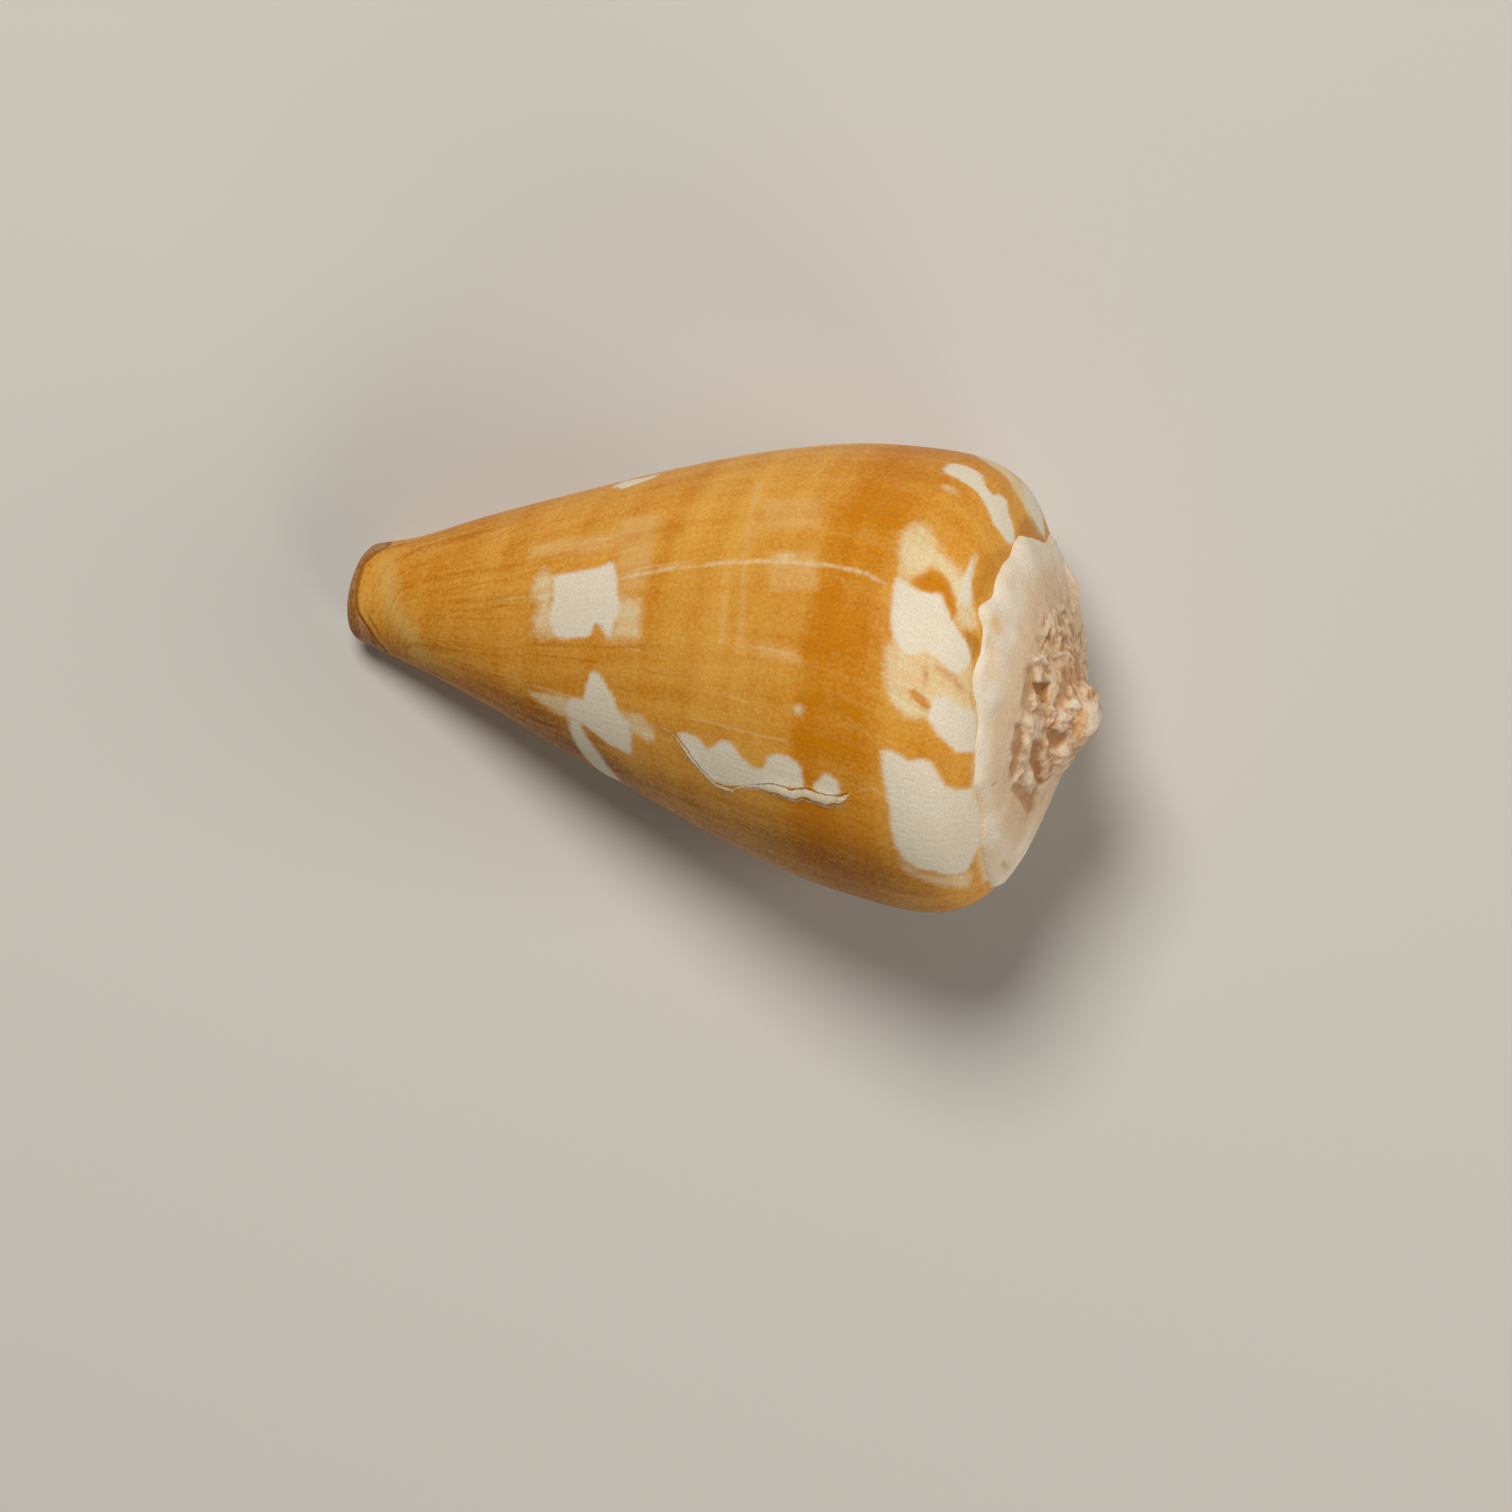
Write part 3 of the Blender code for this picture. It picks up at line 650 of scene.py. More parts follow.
def close_front(loop):
    """Rows that close the front end: the wall's rim is rounded over, the core ends on the axis."""
    lip_edge = HOLLOW_COLUMNS + OUTSIDE_COLUMNS
    wall_start = lip_edge + 1 + LIP_COLUMNS
    back = np.arange(HOLLOW_COLUMNS + 1)
    target = np.tile(CORE_END, (len(loop), 1))
    rim = (loop[lip_edge - back] + loop[wall_start + back]) / 2
    target[lip_edge - back] = rim
    target[wall_start + back] = rim
    target[lip_edge + 1 : wall_start] = rim[0]
    bulge = np.minimum(np.linalg.norm(loop - target, axis=1, keepdims=True), sizes().rim_bulge / MM)
    rows = []
    for step in range(CAP_ROWS, 0, -1):
        swing = step / CAP_ROWS * math.pi / 2
        ahead = np.array((-1.0, 0.0, 0.0)) * bulge * math.sin(swing)
        rows.append(target + (loop - target) * math.cos(swing) + ahead)
    return np.array(rows)


def close_top(loop):
    """Rows that close the top: the hollow's roof, and a lid that the spire's growth covers."""
    wall_end = len(loop) - 1
    floor = np.arange(HOLLOW_COLUMNS)
    target = np.tile(LID_MIDDLE, (len(loop), 1))
    roof = (loop[floor] + loop[wall_end - floor]) / 2
    target[floor] = roof
    target[wall_end - floor] = roof
    return np.array([loop + (target - loop) * step / CAP_ROWS for step in range(1, CAP_ROWS + 1)])


def with_caps(values):
    return np.concatenate((np.repeat(values[:1], CAP_ROWS, 0), values, np.repeat(values[-1:], CAP_ROWS, 0)))


def resting_place():
    """From the shell's own frame to how it lies in the world, both in millimetres."""
    lean = Matrix.Rotation(math.radians(REST_ROLL), 4, "X")
    rise = Matrix.Rotation(math.radians(-REST_PITCH), 4, "Y")
    return Matrix.Translation(FRONT_END) @ rise @ lean


def lay_down(points):
    """Points of the shell's own frame as they lie, with what touches the floor worn flat."""
    place = np.array(resting_place())
    laid = points @ place[:3, :3].T + place[:3, 3]
    laid[..., 2] = np.maximum(laid[..., 2], 0)
    return laid * MM


def view_axes():
    """The camera's turn: nearly straight down, as the resting shell's tilt and the photo's give."""
    shell = resting_place().to_3x3()
    tilt = Matrix.Rotation(math.radians(VIEW_TILT), 3, "Y")
    turn = Matrix.Rotation(math.radians(VIEW_TURN), 3, "Z")
    return shell @ tilt @ turn


def eye_place():
    return resting_place() @ Vector((VIEW_TARGET_HEIGHT, 0, 0)) + view_axes() @ Vector((0, 0, VIEW_DISTANCE))


def aim_at(across, down):
    """The direction from the eye to a pixel of the photograph, in line with the axis's pixel."""
    pixel = VIEW_WIDTH / PHOTO_PIXELS
    right, up = (across - VIEW_TARGET_PIXEL[0]) * pixel, (VIEW_TARGET_PIXEL[1] - down) * pixel
    return view_axes() @ Vector((right, up, -VIEW_DISTANCE))


def camera_turn():
    """The camera aims at the photograph's middle, so the axis's pixel lies off it."""
    ahead = aim_at(PHOTO_PIXELS / 2, PHOTO_PIXELS / 2)
    straight = view_axes() @ Vector((0, 0, -1))
    return (straight.rotation_difference(ahead.normalized()) @ view_axes().to_quaternion()).to_matrix()


def seen_places(points, pixels):
    """Where pixels of the photograph lie on a sheet of points, in the shell's own frame."""
    laid = lay_down(points) / MM
    rows, columns = laid.shape[:2]
    corner = (np.arange(rows - 1)[:, None] * columns + np.arange(columns - 1)).ravel()
    faces = np.stack((corner, corner + 1, corner + columns + 1, corner + columns), 1)
    tree = BVHTree.FromPolygons(laid.reshape(-1, 3).tolist(), faces.tolist())
    home = resting_place().inverted()
    turn = camera_turn()
    pixel = VIEW_WIDTH / PHOTO_PIXELS
    places = []
    for across, down in pixels:
        right, up = (across - PHOTO_PIXELS / 2) * pixel, (PHOTO_PIXELS / 2 - down) * pixel
        way = (turn @ Vector((right, up, -VIEW_DISTANCE))).normalized()
        spot = tree.ray_cast(eye_place(), way)[0]
        if spot is None:
            spot = tree.find_nearest(eye_place() + way * VIEW_DISTANCE)[0]
        places.append(tuple(home @ spot))
    return np.array(places)


def line_distance(spots, line):
    """How far each spot is from a line through points."""
    best = np.full(len(spots), np.inf)
    for start, end in zip(line[:-1], line[1:]):
        way = end - start
        part = np.clip((spots - start) @ way / max(way @ way, NEXT_TO_NOTHING), 0, 1)
        best = np.minimum(best, np.linalg.norm(spots - start - part[:, None] * way, axis=1))
    return best


def side_distance(spots, line, widths):
    """The same, with the sign of the side on which the spot lies, and the line's width there."""
    best, side, wide = np.full(len(spots), np.inf), np.ones(len(spots)), np.zeros(len(spots))
    for start, end, first, last in zip(line[:-1], line[1:], widths[:-1], widths[1:]):
        way = end - start
        away = spots - start
        part = np.clip(away @ way / (way @ way), 0, 1)
        distance = np.linalg.norm(away - part[:, None] * way, axis=1)
        nearer = distance < best
        side = np.where(nearer, np.sign(way[0] * away[:, 1] - way[1] * away[:, 0]), side)
        wide = np.where(nearer, first + (last - first) * part, wide)
        best = np.minimum(best, distance)
    return best * side, wide


def inside_distance(spots, outline):
    """How far each spot is from a closed outline, and below nothing outside it."""
    closed = np.concatenate((outline, outline[:1]))
    inside = np.zeros(len(spots), dtype=bool)
    for (x0, y0), (x1, y1) in zip(closed[:-1], closed[1:]):
        between = (y0 > spots[:, 1]) != (y1 > spots[:, 1])
        crossing = x0 + (spots[:, 1] - y0) * (x1 - x0) / ((y1 - y0) or NEXT_TO_NOTHING)
        inside ^= between & (spots[:, 0] < crossing)
    return np.where(inside, 1, -1) * line_distance(spots, closed)


def mark_depth(spots, soft, half_width, shape):
    """From -1 well outside a mark, over 0 on its edge, to 1 well inside."""
    if half_width:
        line = shape if len(shape) > 1 else np.repeat(shape, 2, 0)
        distance = half_width - line_distance(spots, line)
    else:
        distance = inside_distance(spots, shape)
    return np.clip(distance / soft, -1, 1)


class WhorlMap:
    """The whorl's outside unrolled: length along the outline, and distance round the axis."""

    def __init__(self, points, length, angle):
        self.points, self.length, self.angle = points, length, angle

    def read(self, pixels):
        """Lengths and angles of pixels of the photograph."""
        places = seen_places(self.points, pixels)
        angle = np.degrees(np.arctan2(places[:, 1], places[:, 2]))
        radius = np.hypot(places[:, 1], places[:, 2])
        length = []
        for height, wide, turn in zip(places[:, 0], radius, angle):
            turns = (turn - LIP_ANGLE + through(OUTLINE, FINE_ROWS)[:, 3]) / 360
            high, out, _ = whorl_place(FINE_ROWS, turns)
            length.append(FINE_LENGTHS[np.argmin((high - height) ** 2 + (out - wide) ** 2)])
        return np.stack((length, angle), 1)

    def flat(self, length, angle, middle):
        return np.stack((length, np.radians(angle - middle) * radius_at(length, angle)), -1)

    def near(self, shape, reach):
        """The vertices near a shape, and both laid flat."""
        middle = shape[:, 1].mean()
        length, angle = self.length, self.angle
        wide = np.degrees(reach / radius_at(shape[:, 0].mean(), middle))
        close = (
            (length > shape[:, 0].min() - reach) & (length < shape[:, 0].max() + reach)
            & (angle > shape[:, 1].min() - wide) & (angle < shape[:, 1].max() + wide)
        )
        return close, self.flat(length[close], angle[close], middle), self.flat(*shape.T, middle)


# The whorl's layers of markings and of lines, and how far from its edge each is still known.
MARK_LAYERS = ("white", "pale", "light", "orange", "wedge", "mottled", "crescent")
MARK_REACH = 2.0
LINE_LAYERS = ("scar", "line", "shade")
LINE_REACH = 0.4
# Half the width where there is no line, and how softly the scar's ridge ends beside its widest.
NO_LINE = -0.05
SCAR_SHOULDER = 0.06
SCAR_WIDEST = 0.115


def draw_marks(sheet):
    """The depth of each layer of markings at each vertex, with the copies on the hidden side."""
    drawn = {layer: np.full(len(sheet.length), -1.0) for layer in MARK_LAYERS}
    shapes = [(layer, soft, half, sheet.read(pixels)) for layer, soft, half, pixels in WHORL_MARKS]
    for number, further, turn in HIDDEN_MARKS:
        layer, soft, half, shape = shapes[number]
        shifted = shape + (further, turn)
        shifted[:, 1] = LIP_ANGLE - (LIP_ANGLE - shifted[:, 1]) % 360
        if np.ptp(shifted[:, 1]) < 180:
            shapes.append((layer, soft, half, shifted))
    for layer, soft, half, shape in shapes:
        close, spots, flat = sheet.near(shape, MARK_REACH)
        drawn[layer][close] = np.maximum(drawn[layer][close], mark_depth(spots, soft, half, flat))
    return drawn


def draw_lines(sheet):
    """How far each vertex lies to one side of the nearest line of a layer, and that line's width."""
    drawn = {}
    for layer in LINE_LAYERS:
        drawn[layer] = np.full(len(sheet.length), LINE_REACH)
        drawn[layer + "_width"] = np.full(len(sheet.length), NO_LINE)
    broken = np.array(SCAR)
    lines = [("scar", broken[:, 2], broken[:, :2])]
    lines += [(layer, np.full(len(pixels), half), pixels) for layer, half, pixels in WHORL_LINES]
    for layer, widths, pixels in lines:
        widths[[0, -1]] = NO_LINE
        close, spots, flat = sheet.near(sheet.read(pixels), LINE_REACH)
        away, wide = side_distance(spots, flat, widths)
        nearer = np.abs(away) < np.abs(drawn[layer][close])
        drawn[layer][close] = np.where(nearer, away, drawn[layer][close])
        drawn[layer + "_width"][close] = np.where(nearer, wide, drawn[layer + "_width"][close])
    return drawn


def past_groove(sheet):
    """How far each vertex lies behind the groove of the front end's rim."""
    rim = sheet.read(RIM_GROOVE)
    rim_angles = np.concatenate((rim[:, 1], RIM_ANGLES_BEHIND))
    rim_lengths = np.concatenate((rim[:, 0], np.full(len(RIM_ANGLES_BEHIND), RIM_WIDTH_BEHIND)))
    order = np.argsort(rim_angles % 360)
    groove = np.interp(sheet.angle % 360, (rim_angles % 360)[order], rim_lengths[order], period=360)
    return np.clip(sheet.length - groove, -MARK_REACH, MARK_REACH)


def whorl_layers(points, length, angle, outside):
    """All that is drawn on the whorl, as a value of each vertex of its outside."""
    sheet = WhorlMap(points, length[outside], angle[outside])
    return {**draw_marks(sheet), **draw_lines(sheet), "rim": past_groove(sheet)}


# The growth lines: how many units of them one turn holds, and how they bend at the front end.
LINES_PER_TURN = 38.0
LEAST_LENGTH = 0.02
FRONT_BEND = 5.2
FRONT_BEND_POWER = 0.20
FRONT_BEND_LENGTH = 1.6
FRONT_BEND_ENDS = 2.0
FRONT_BEND_SHARPNESS = 4


def lines_behind(length, turns):
    """How far behind the lip's edge a point lies, along lines that bend round the front end."""
    behind = np.maximum(-turns * LINES_PER_TURN, LEAST_LENGTH)
    front = np.maximum(length, LEAST_LENGTH)
    ahead = FRONT_BEND * front**FRONT_BEND_POWER
    ahead = ahead + FRONT_BEND_ENDS * (front / FRONT_BEND_LENGTH) ** FRONT_BEND_SHARPNESS
    sharpness = float(FRONT_BEND_SHARPNESS)
    return (behind**-sharpness + ahead**-sharpness) ** (-1 / sharpness)


def start_afresh():
    """Nothing is selected, and no object is in edit mode."""
    if bpy.context.object and bpy.context.object.mode != "OBJECT":
        bpy.ops.object.mode_set(mode="OBJECT")
    bpy.ops.object.select_all(action="DESELECT")


def give_attribute(piece, name, values):
    made = piece.data.attributes.new(name, "FLOAT", "POINT")
    made.data.foreach_set("value", np.asarray(values, dtype=np.float32).ravel())


def finish_mesh(piece):
    """Doubles are merged, the faces point out, and the piece is smooth."""
    bpy.ops.object.mode_set(mode="EDIT")
    bpy.ops.mesh.select_all(action="SELECT")
    bpy.ops.mesh.remove_doubles(threshold=MERGE_DISTANCE)
    bpy.ops.mesh.dissolve_degenerate(threshold=MERGE_DISTANCE)
    bpy.ops.mesh.normals_make_consistent(inside=False)
    bpy.ops.object.mode_set(mode="OBJECT")
    bpy.ops.object.shade_smooth()


def read_points(piece):
    points = np.empty(len(piece.data.vertices) * 3)
    piece.data.vertices.foreach_get("co", points)
    return points.reshape(-1, 3)


def write_points(piece, points):
    points[:, 2] = np.maximum(points[:, 2], 0)
    piece.data.vertices.foreach_set("co", points.astype(np.float32).ravel())
    piece.data.update()


def push_out(piece, name):
    """Moves each vertex along its normal, by what the attribute says in millimetres."""
    normals = np.empty(len(piece.data.vertices) * 3)
    piece.data.vertices.foreach_get("normal", normals)
    amount = np.empty(len(piece.data.vertices))
    piece.data.attributes[name].data.foreach_get("value", amount)
    write_points(piece, read_points(piece) + normals.reshape(-1, 3) * amount[:, None] * MM)


def whorl_top(angle):
    """Heights and radii of the whorl's shoulder under the growth, for each angle."""
    rows = np.linspace(*SHOULDER_ROWS, SHOULDER_STEPS)[None]
    turns = (angle[:, None] - LIP_ANGLE + through(OUTLINE, rows)[..., 3]) / 360
    turns = np.where(turns > 0, turns - 1, turns)
    height, radius, _ = whorl_place(rows, turns)
    return height, radius


WHOLE_ANGLES = np.arange(-180.0, 180.0)


def blurred(values, spread):
    """Values at each whole degree round, smoothed over this many degrees."""
    blur = np.exp(-((WHOLE_ANGLES / spread) ** 2))
    blur = np.roll(blur / blur.sum(), 180)
    return np.real(np.fft.ifft(np.fft.fft(values) * np.fft.fft(blur)))


def older_side(angle):
    """From 1 on the side of the older whorls, which the growth covers more thickly, to 0."""
    return ((1 + np.cos(np.radians(angle - OLD_SIDE_ANGLE))) / 2) ** 2


class Border:
    """The growth's edge at each whole degree round: its radius, thickness, and drop to the whorl."""

    def __init__(self):
        points = whorl_grid()[0]
        sheet = points[:, HOLLOW_COLUMNS : HOLLOW_COLUMNS + OUTSIDE_COLUMNS + 1]
        read = np.array(BORDER)
        places = seen_places(sheet, read[:, :2])
        angle = np.degrees(np.arctan2(places[:, 1], places[:, 2]))
        shown = np.stack((angle, np.hypot(places[:, 1], places[:, 2]), read[:, 2]), 1)
        known = np.concatenate((shown, HIDDEN_BORDER))
        known = known[np.argsort(known[:, 0] % 360)]
        known[:, 0] %= 360
        around = WHOLE_ANGLES % 360
        self.radius = blurred(np.interp(around, *known[:, :2].T, period=360), BORDER_SMOOTHING)
        self.thickness = blurred(np.interp(around, *known[:, ::2].T, period=360), BORDER_SMOOTHING)
        edge = self.radius * DOME[EDGE_ROW][0] / DOME[-1][0]
        whorl = zip(edge, *whorl_top(WHOLE_ANGLES))
        ground = np.array([np.interp(wide, out[::-1], up[::-1]) for wide, up, out in whorl])
        lift = OLD_SIDE_LIFT * older_side(WHOLE_ANGLES)
        self.drop = blurred(ground + self.thickness - DOME[EDGE_ROW][1] - lift, EDGE_SMOOTHING)

    def at(self, values, angle):
        return np.interp(angle, WHOLE_ANGLES, values, period=360)


def ground_under(radius, angle):
    """The height of the whorl's top at each place under the growth."""
    ground = np.empty(radius.shape)
    whole = np.round(angle)
    for turn in np.unique(whole):
        here = whole == turn
        height, out = whorl_top(np.array((turn,)))
        outward = np.concatenate(((0.0,), out[0][::-1]))
        ground[here] = np.interp(radius[here], outward, np.concatenate((LID_MIDDLE[:1], height[0][::-1])))
    return ground


def dome_surface(share, angle, border):
    """Radius and height of the growth, from its tip (share 0) over the edge to below (share 1)."""
    last = len(DOME) - 1
    radius, height = np.moveaxis(through(DOME, last * np.minimum(share / DOME_SHARE, 1)), -1, 0)
    outward = smooth_step(radius / DOME[last][0])
    near_edge = smooth_step((radius / DOME[last][0] - EDGE_BLENDS_FROM) / (1 - EDGE_BLENDS_FROM))
    height = height + OLD_SIDE_LIFT * older_side(angle) * outward
    height = height + border.at(border.drop, angle) * near_edge
    edge = border.at(border.radius, angle)
    radius = radius * (1 + (edge / DOME[last][0] - 1) * outward)
    cover = ground_under(radius, angle) + border.at(border.thickness, angle)
    top = share < DOME_SHARE * EDGE_ROW / last
    blend = COVER_BLEND * smooth_step((1 - radius / edge) / COVER_BLENDS_OVER)
    height = np.where(top, (height + cover + np.hypot(height - cover, blend)) / 2, height)
    below = share > DOME_SHARE
    inward = (1 - share) / (1 - DOME_SHARE)
    return np.where(below, edge * inward, radius), np.where(below, DOME_UNDERSIDE, height)


def dome_sheet(border):
    """The growth's smooth top as a sheet of points, from its tip to its edge."""
    share = np.linspace(0, DOME_SHARE, DOME_SHEET_RINGS)[:, None]
    angle = np.linspace(-180, 180, 361)[None]
    radius, height = dome_surface(share + 0 * angle, angle + 0 * share, border)
    return shell_points(height, radius, angle + 0 * share)


# The relief's outlines wander by noise of this size, up to this far.
WARP_SIZE = 0.22
WARP_REACH = 0.05
# How steeply a ridge or nodule falls away, how far from the rough part's edge the distance is kept,
# and over how wide a border the lumps grow.
BUMP_SHARPNESS = 0.8
ROUGH_REACH = (-2.0, 1.0)
ROUGH_EDGE_WIDTH = 0.5


def growth_layers(flat, border):
    """Height, paleness and stains of the growth at each vertex, laid flat along the axis."""
    sheet = dome_sheet(border)

    def read(pixels):
        return seen_places(sheet, pixels)[:, 1:]

    bend = [noise.noise_vector(Vector((*spot, 0)) / WARP_SIZE)[:2] for spot in flat]
    flat = flat + WARP_REACH * np.array(bend)
    layers = {"raised": np.zeros(len(flat)), "tone": np.zeros(len(flat))}
    for height, half_width, tone, kind, pixels in GROWTH_RELIEF:
        shape = read(pixels)
        if kind == AREA:
            near = smooth_step(inside_distance(flat, shape) / half_width / 2 + 1 / 2)
        else:
            spots = np.min([np.linalg.norm(flat - point, axis=1) for point in shape], 0)
            away = line_distance(flat, shape) if kind == LINE else spots
            near = np.exp(-((away / half_width) ** 2) * BUMP_SHARPNESS)
        layers["raised"] += height * near
        layers["tone"] += tone * near
    edge = np.concatenate((read(ROUGH_EDGE), FAR_ROUGH_EDGE))
    layers["rough"] = np.clip(inside_distance(flat, edge), *ROUGH_REACH)
    for name in ("orange", "green"):
        layers[name] = np.full(len(flat), -1.0)
    for name, soft, half_width, pixels in GROWTH_STAINS:
        layers[name] = np.maximum(layers[name], mark_depth(flat, soft, half_width, read(pixels)))
    return layers


# The growth's lumps: coarse and fine, and how much is left of them where it is smooth.
LUMP_SIZE = 0.55
FINE_LUMP_SIZE = 0.22
FINE_LUMP_SHARE = 0.55
SMOOTH_PART_SHARE = 0.16


def lumps(points, rough):
    """The growth's own lumps: coarse and fine where it is rough, faint where it is smooth."""
    height = sizes().lump_height / MM
    lifted = []
    strength = SMOOTH_PART_SHARE + (1 - SMOOTH_PART_SHARE) * smooth_step(rough / ROUGH_EDGE_WIDTH + 1 / 2)
    for point, part in zip(points, strength):
        place = Vector(point)
        coarse = noise.noise(place / LUMP_SIZE)
        fine = noise.noise(place / FINE_LUMP_SIZE)
        lifted.append(height * (coarse + FINE_LUMP_SHARE * fine) * part)
    return np.array(lifted)


# A pattern's middle value, from which it varies to both sides; how deep a marking's ragged edge is;
# and how fine the noise of the edges and of the drawn lines is.
MIDDLE = 0.5
EDGE_WIDTH = 0.9
EDGE_DETAIL = 4.0
LINE_DETAIL = 3.0


def socket_value(tree, socket, value):
    if isinstance(value, bpy.types.NodeSocket):
        tree.links.new(value, socket)
    else:
        socket.default_value = value


class Nodes:
    """A shader node tree, with a short way to make each kind of node that the shell uses."""

    def __init__(self, tree):
        self.tree = tree

    def node(self, kind, inputs=None, **settings):
        """A new node with its settings, and its inputs set or linked by name or number."""
        made = self.tree.nodes.new(kind)
        for name, value in settings.items():
            setattr(made, name, value)
        for place, value in (inputs or {}).items():
            socket_value(self.tree, made.inputs[place], value)
        return made

    def maths(self, operation, *values):
        return self.node("ShaderNodeMath", dict(enumerate(values)), operation=operation).outputs[0]

    def times(self, first, second):
        return self.maths("MULTIPLY", first, second)

    def plus(self, total, value, share):
        """A total and a share of a value."""
        return self.maths("MULTIPLY_ADD", value, share, total)

    def about(self, pattern):
        """How far a pattern lies from its middle value."""
        return self.maths("SUBTRACT", pattern, MIDDLE)

    def attribute(self, name):
        return self.node("ShaderNodeAttribute", attribute_name=name).outputs["Fac"]

    def ramp(self, value, low, high, to_low=0.0, to_high=1.0):
        """A smooth step of the value between low and high."""
        inputs = {"Value": value, "From Min": low, "From Max": high, "To Min": to_low, "To Max": to_high}
        return self.node("ShaderNodeMapRange", inputs, interpolation_type="SMOOTHSTEP").outputs["Result"]

    def noise(self, place, scale, detail):
        inputs = {"Vector": place, "Scale": scale, "Detail": detail}
        return self.node("ShaderNodeTexNoise", inputs).outputs["Fac"]

    def noise_of_size(self, size, detail):
        """Noise over the piece, with its size in millimetres."""
        place = self.node("ShaderNodeTexCoord").outputs["Object"]
        scaled = self.node("ShaderNodeVectorMath", {0: place, 3: 1 / MM}, operation="SCALE").outputs[0]
        return self.noise(scaled, self.maths("DIVIDE", 1.0, size), detail)


class Effect(Nodes):
    """A shader node group, which each material uses with its own values."""

    def __init__(self, name, output, **inputs):
        super().__init__(bpy.data.node_groups.new(name, "ShaderNodeTree"))
        for label, default in inputs.items():
            made = self.tree.interface.new_socket(label, in_out="INPUT", socket_type="NodeSocketFloat")
            made.default_value = default
        self.tree.interface.new_socket(output, in_out="OUTPUT", socket_type="NodeSocketFloat")
        self.given = self.node("NodeGroupInput").outputs
        self.end = self.node("NodeGroupOutput")

    def puts_out(self, value):
        self.tree.links.new(value, self.end.inputs[0])


def make_mottling():
    """Even mottling of a given size."""
    effect = Effect("mottling", "Value", Size=0.3, Detail=3.0, Contrast=1.5)
    grain = effect.about(effect.noise_of_size(effect.given["Size"], effect.given["Detail"]))
    effect.puts_out(effect.plus(MIDDLE, grain, effect.given["Contrast"]))


def make_drawn_lines():
    """Fine uneven lines across one coordinate that run along another."""
    values = {"Across": 0.0, "Along": 0.0, "Spacing": 0.2, "Length": 2.0, "Seed": 0.0, "Contrast": 1.5}
    effect = Effect("drawn lines", "Value", **values)
    across = effect.maths("DIVIDE", effect.given["Across"], effect.given["Spacing"])
    along = effect.maths("DIVIDE", effect.given["Along"], effect.given["Length"])
    place = effect.node("ShaderNodeCombineXYZ", {0: across, 1: along, 2: effect.given["Seed"]}).outputs[0]
    drawn = effect.about(effect.noise(place, 1.0, LINE_DETAIL))
    effect.puts_out(effect.plus(MIDDLE, drawn, effect.given["Contrast"]))


def make_ragged_edge():
    """The share of a marking from its depth, with an edge that wanders."""
    effect = Effect("ragged edge", "Share", Depth=0.0, Ragged=0.6, Size=0.3)
    wander = effect.about(effect.noise_of_size(effect.given["Size"], EDGE_DETAIL))
    reach = effect.maths("DIVIDE", effect.given["Ragged"], MIDDLE)
    depth = effect.plus(effect.given["Depth"], wander, reach)
    effect.puts_out(effect.ramp(depth, -EDGE_WIDTH, EDGE_WIDTH))


def make_effects():
    if "mottling" not in bpy.data.node_groups:
        make_mottling()
        make_drawn_lines()
        make_ragged_edge()


class Finish(Nodes):
    """A new material, whose base colour is laid on in coats."""

    def __init__(self, name):
        make_effects()
        self.material = bpy.data.materials.new(name)
        self.material.use_nodes = True
        super().__init__(self.material.node_tree)
        self.surface = self.tree.nodes["Principled BSDF"]
        self.base = None

    def gets(self, socket, value):
        """Sets or links one of the surface's own sockets."""
        socket_value(self.tree, self.surface.inputs[socket], value)

    def placed(self, effect, **inputs):
        """An effect with this material's own values."""
        made = self.node("ShaderNodeGroup", node_tree=bpy.data.node_groups[effect])
        for label, value in inputs.items():
            socket_value(self.tree, made.inputs[label], value)
        return made.outputs[0]

    def mottling(self, size, detail, contrast):
        return self.placed("mottling", Size=size, Detail=detail, Contrast=contrast)

    def mark(self, layer, ragged, size):
        """The share of a layer of markings, how ragged its edge is and of what size."""
        return self.placed("ragged edge", Depth=self.attribute(layer), Ragged=ragged, Size=size)

    def mixed(self, share, first, second, kind="MIX"):
        """Two colours mixed by a share: a colour is a socket, or the name of one of the shell's."""
        shades = [tuple(getattr(colours(), shade)) if isinstance(shade, str) else shade
                  for shade in (first, second)]
        inputs = {0: share, 6: shades[0], 7: shades[1]}
        return self.node("ShaderNodeMix", inputs, data_type="RGBA", blend_type=kind).outputs[2]

    def coat(self, share, shade, strength=None):
        """Lays a colour over the base colour, by its share and at this strength."""
        if strength is not None:
            share = self.times(share, strength)
        self.base = self.mixed(share, self.base, shade)

    def tint(self, shade):
        """Darkens or lightens the whole base colour by a factor."""
        self.base = self.mixed(1.0, self.base, shade, "MULTIPLY")

    def relief(self, *patterns):
        """Gives the surface fine relief: each pattern with its height in millimetres."""
        total = 0.0
        for pattern, height in patterns:
            total = self.plus(total, pattern, height)
        bump = self.node("ShaderNodeBump", {"Height": total, "Distance": MM, "Strength": 1.0})
        self.gets("Normal", bump.outputs["Normal"])


# How deep the orange is along the outline: length from the front end, and depth from 0 to 1.
BAND_DEPTHS = (
    (0.0, 0.45), (3.0, 0.55), (6.5, 0.50), (9.5, 0.55), (12.0, 0.45), (14.5, 0.20), (16.5, 0.30),
    (18.0, 0.85), (19.3, 0.75), (21.0, 0.35), (24.5, 0.30),
)
LONGEST = 25.0
# The uneven lines of the glaze: what they run across and along, their spacing, length, seed and
# contrast, and how much they deepen the orange.
GLAZE_LINES = {
    "fine": ("behind", "length", 0.12, 1.8, 0.0, 2.2, 0.55),
    "broad": ("behind", "length", 0.60, 8.0, 3.0, 2.2, 0.50),
    "round": ("length", "behind", 0.18, 2.6, 7.0, 1.5, 0.34),
    "bands": ("length", "behind", 1.10, 14.0, 5.0, 2.0, 0.65),
}
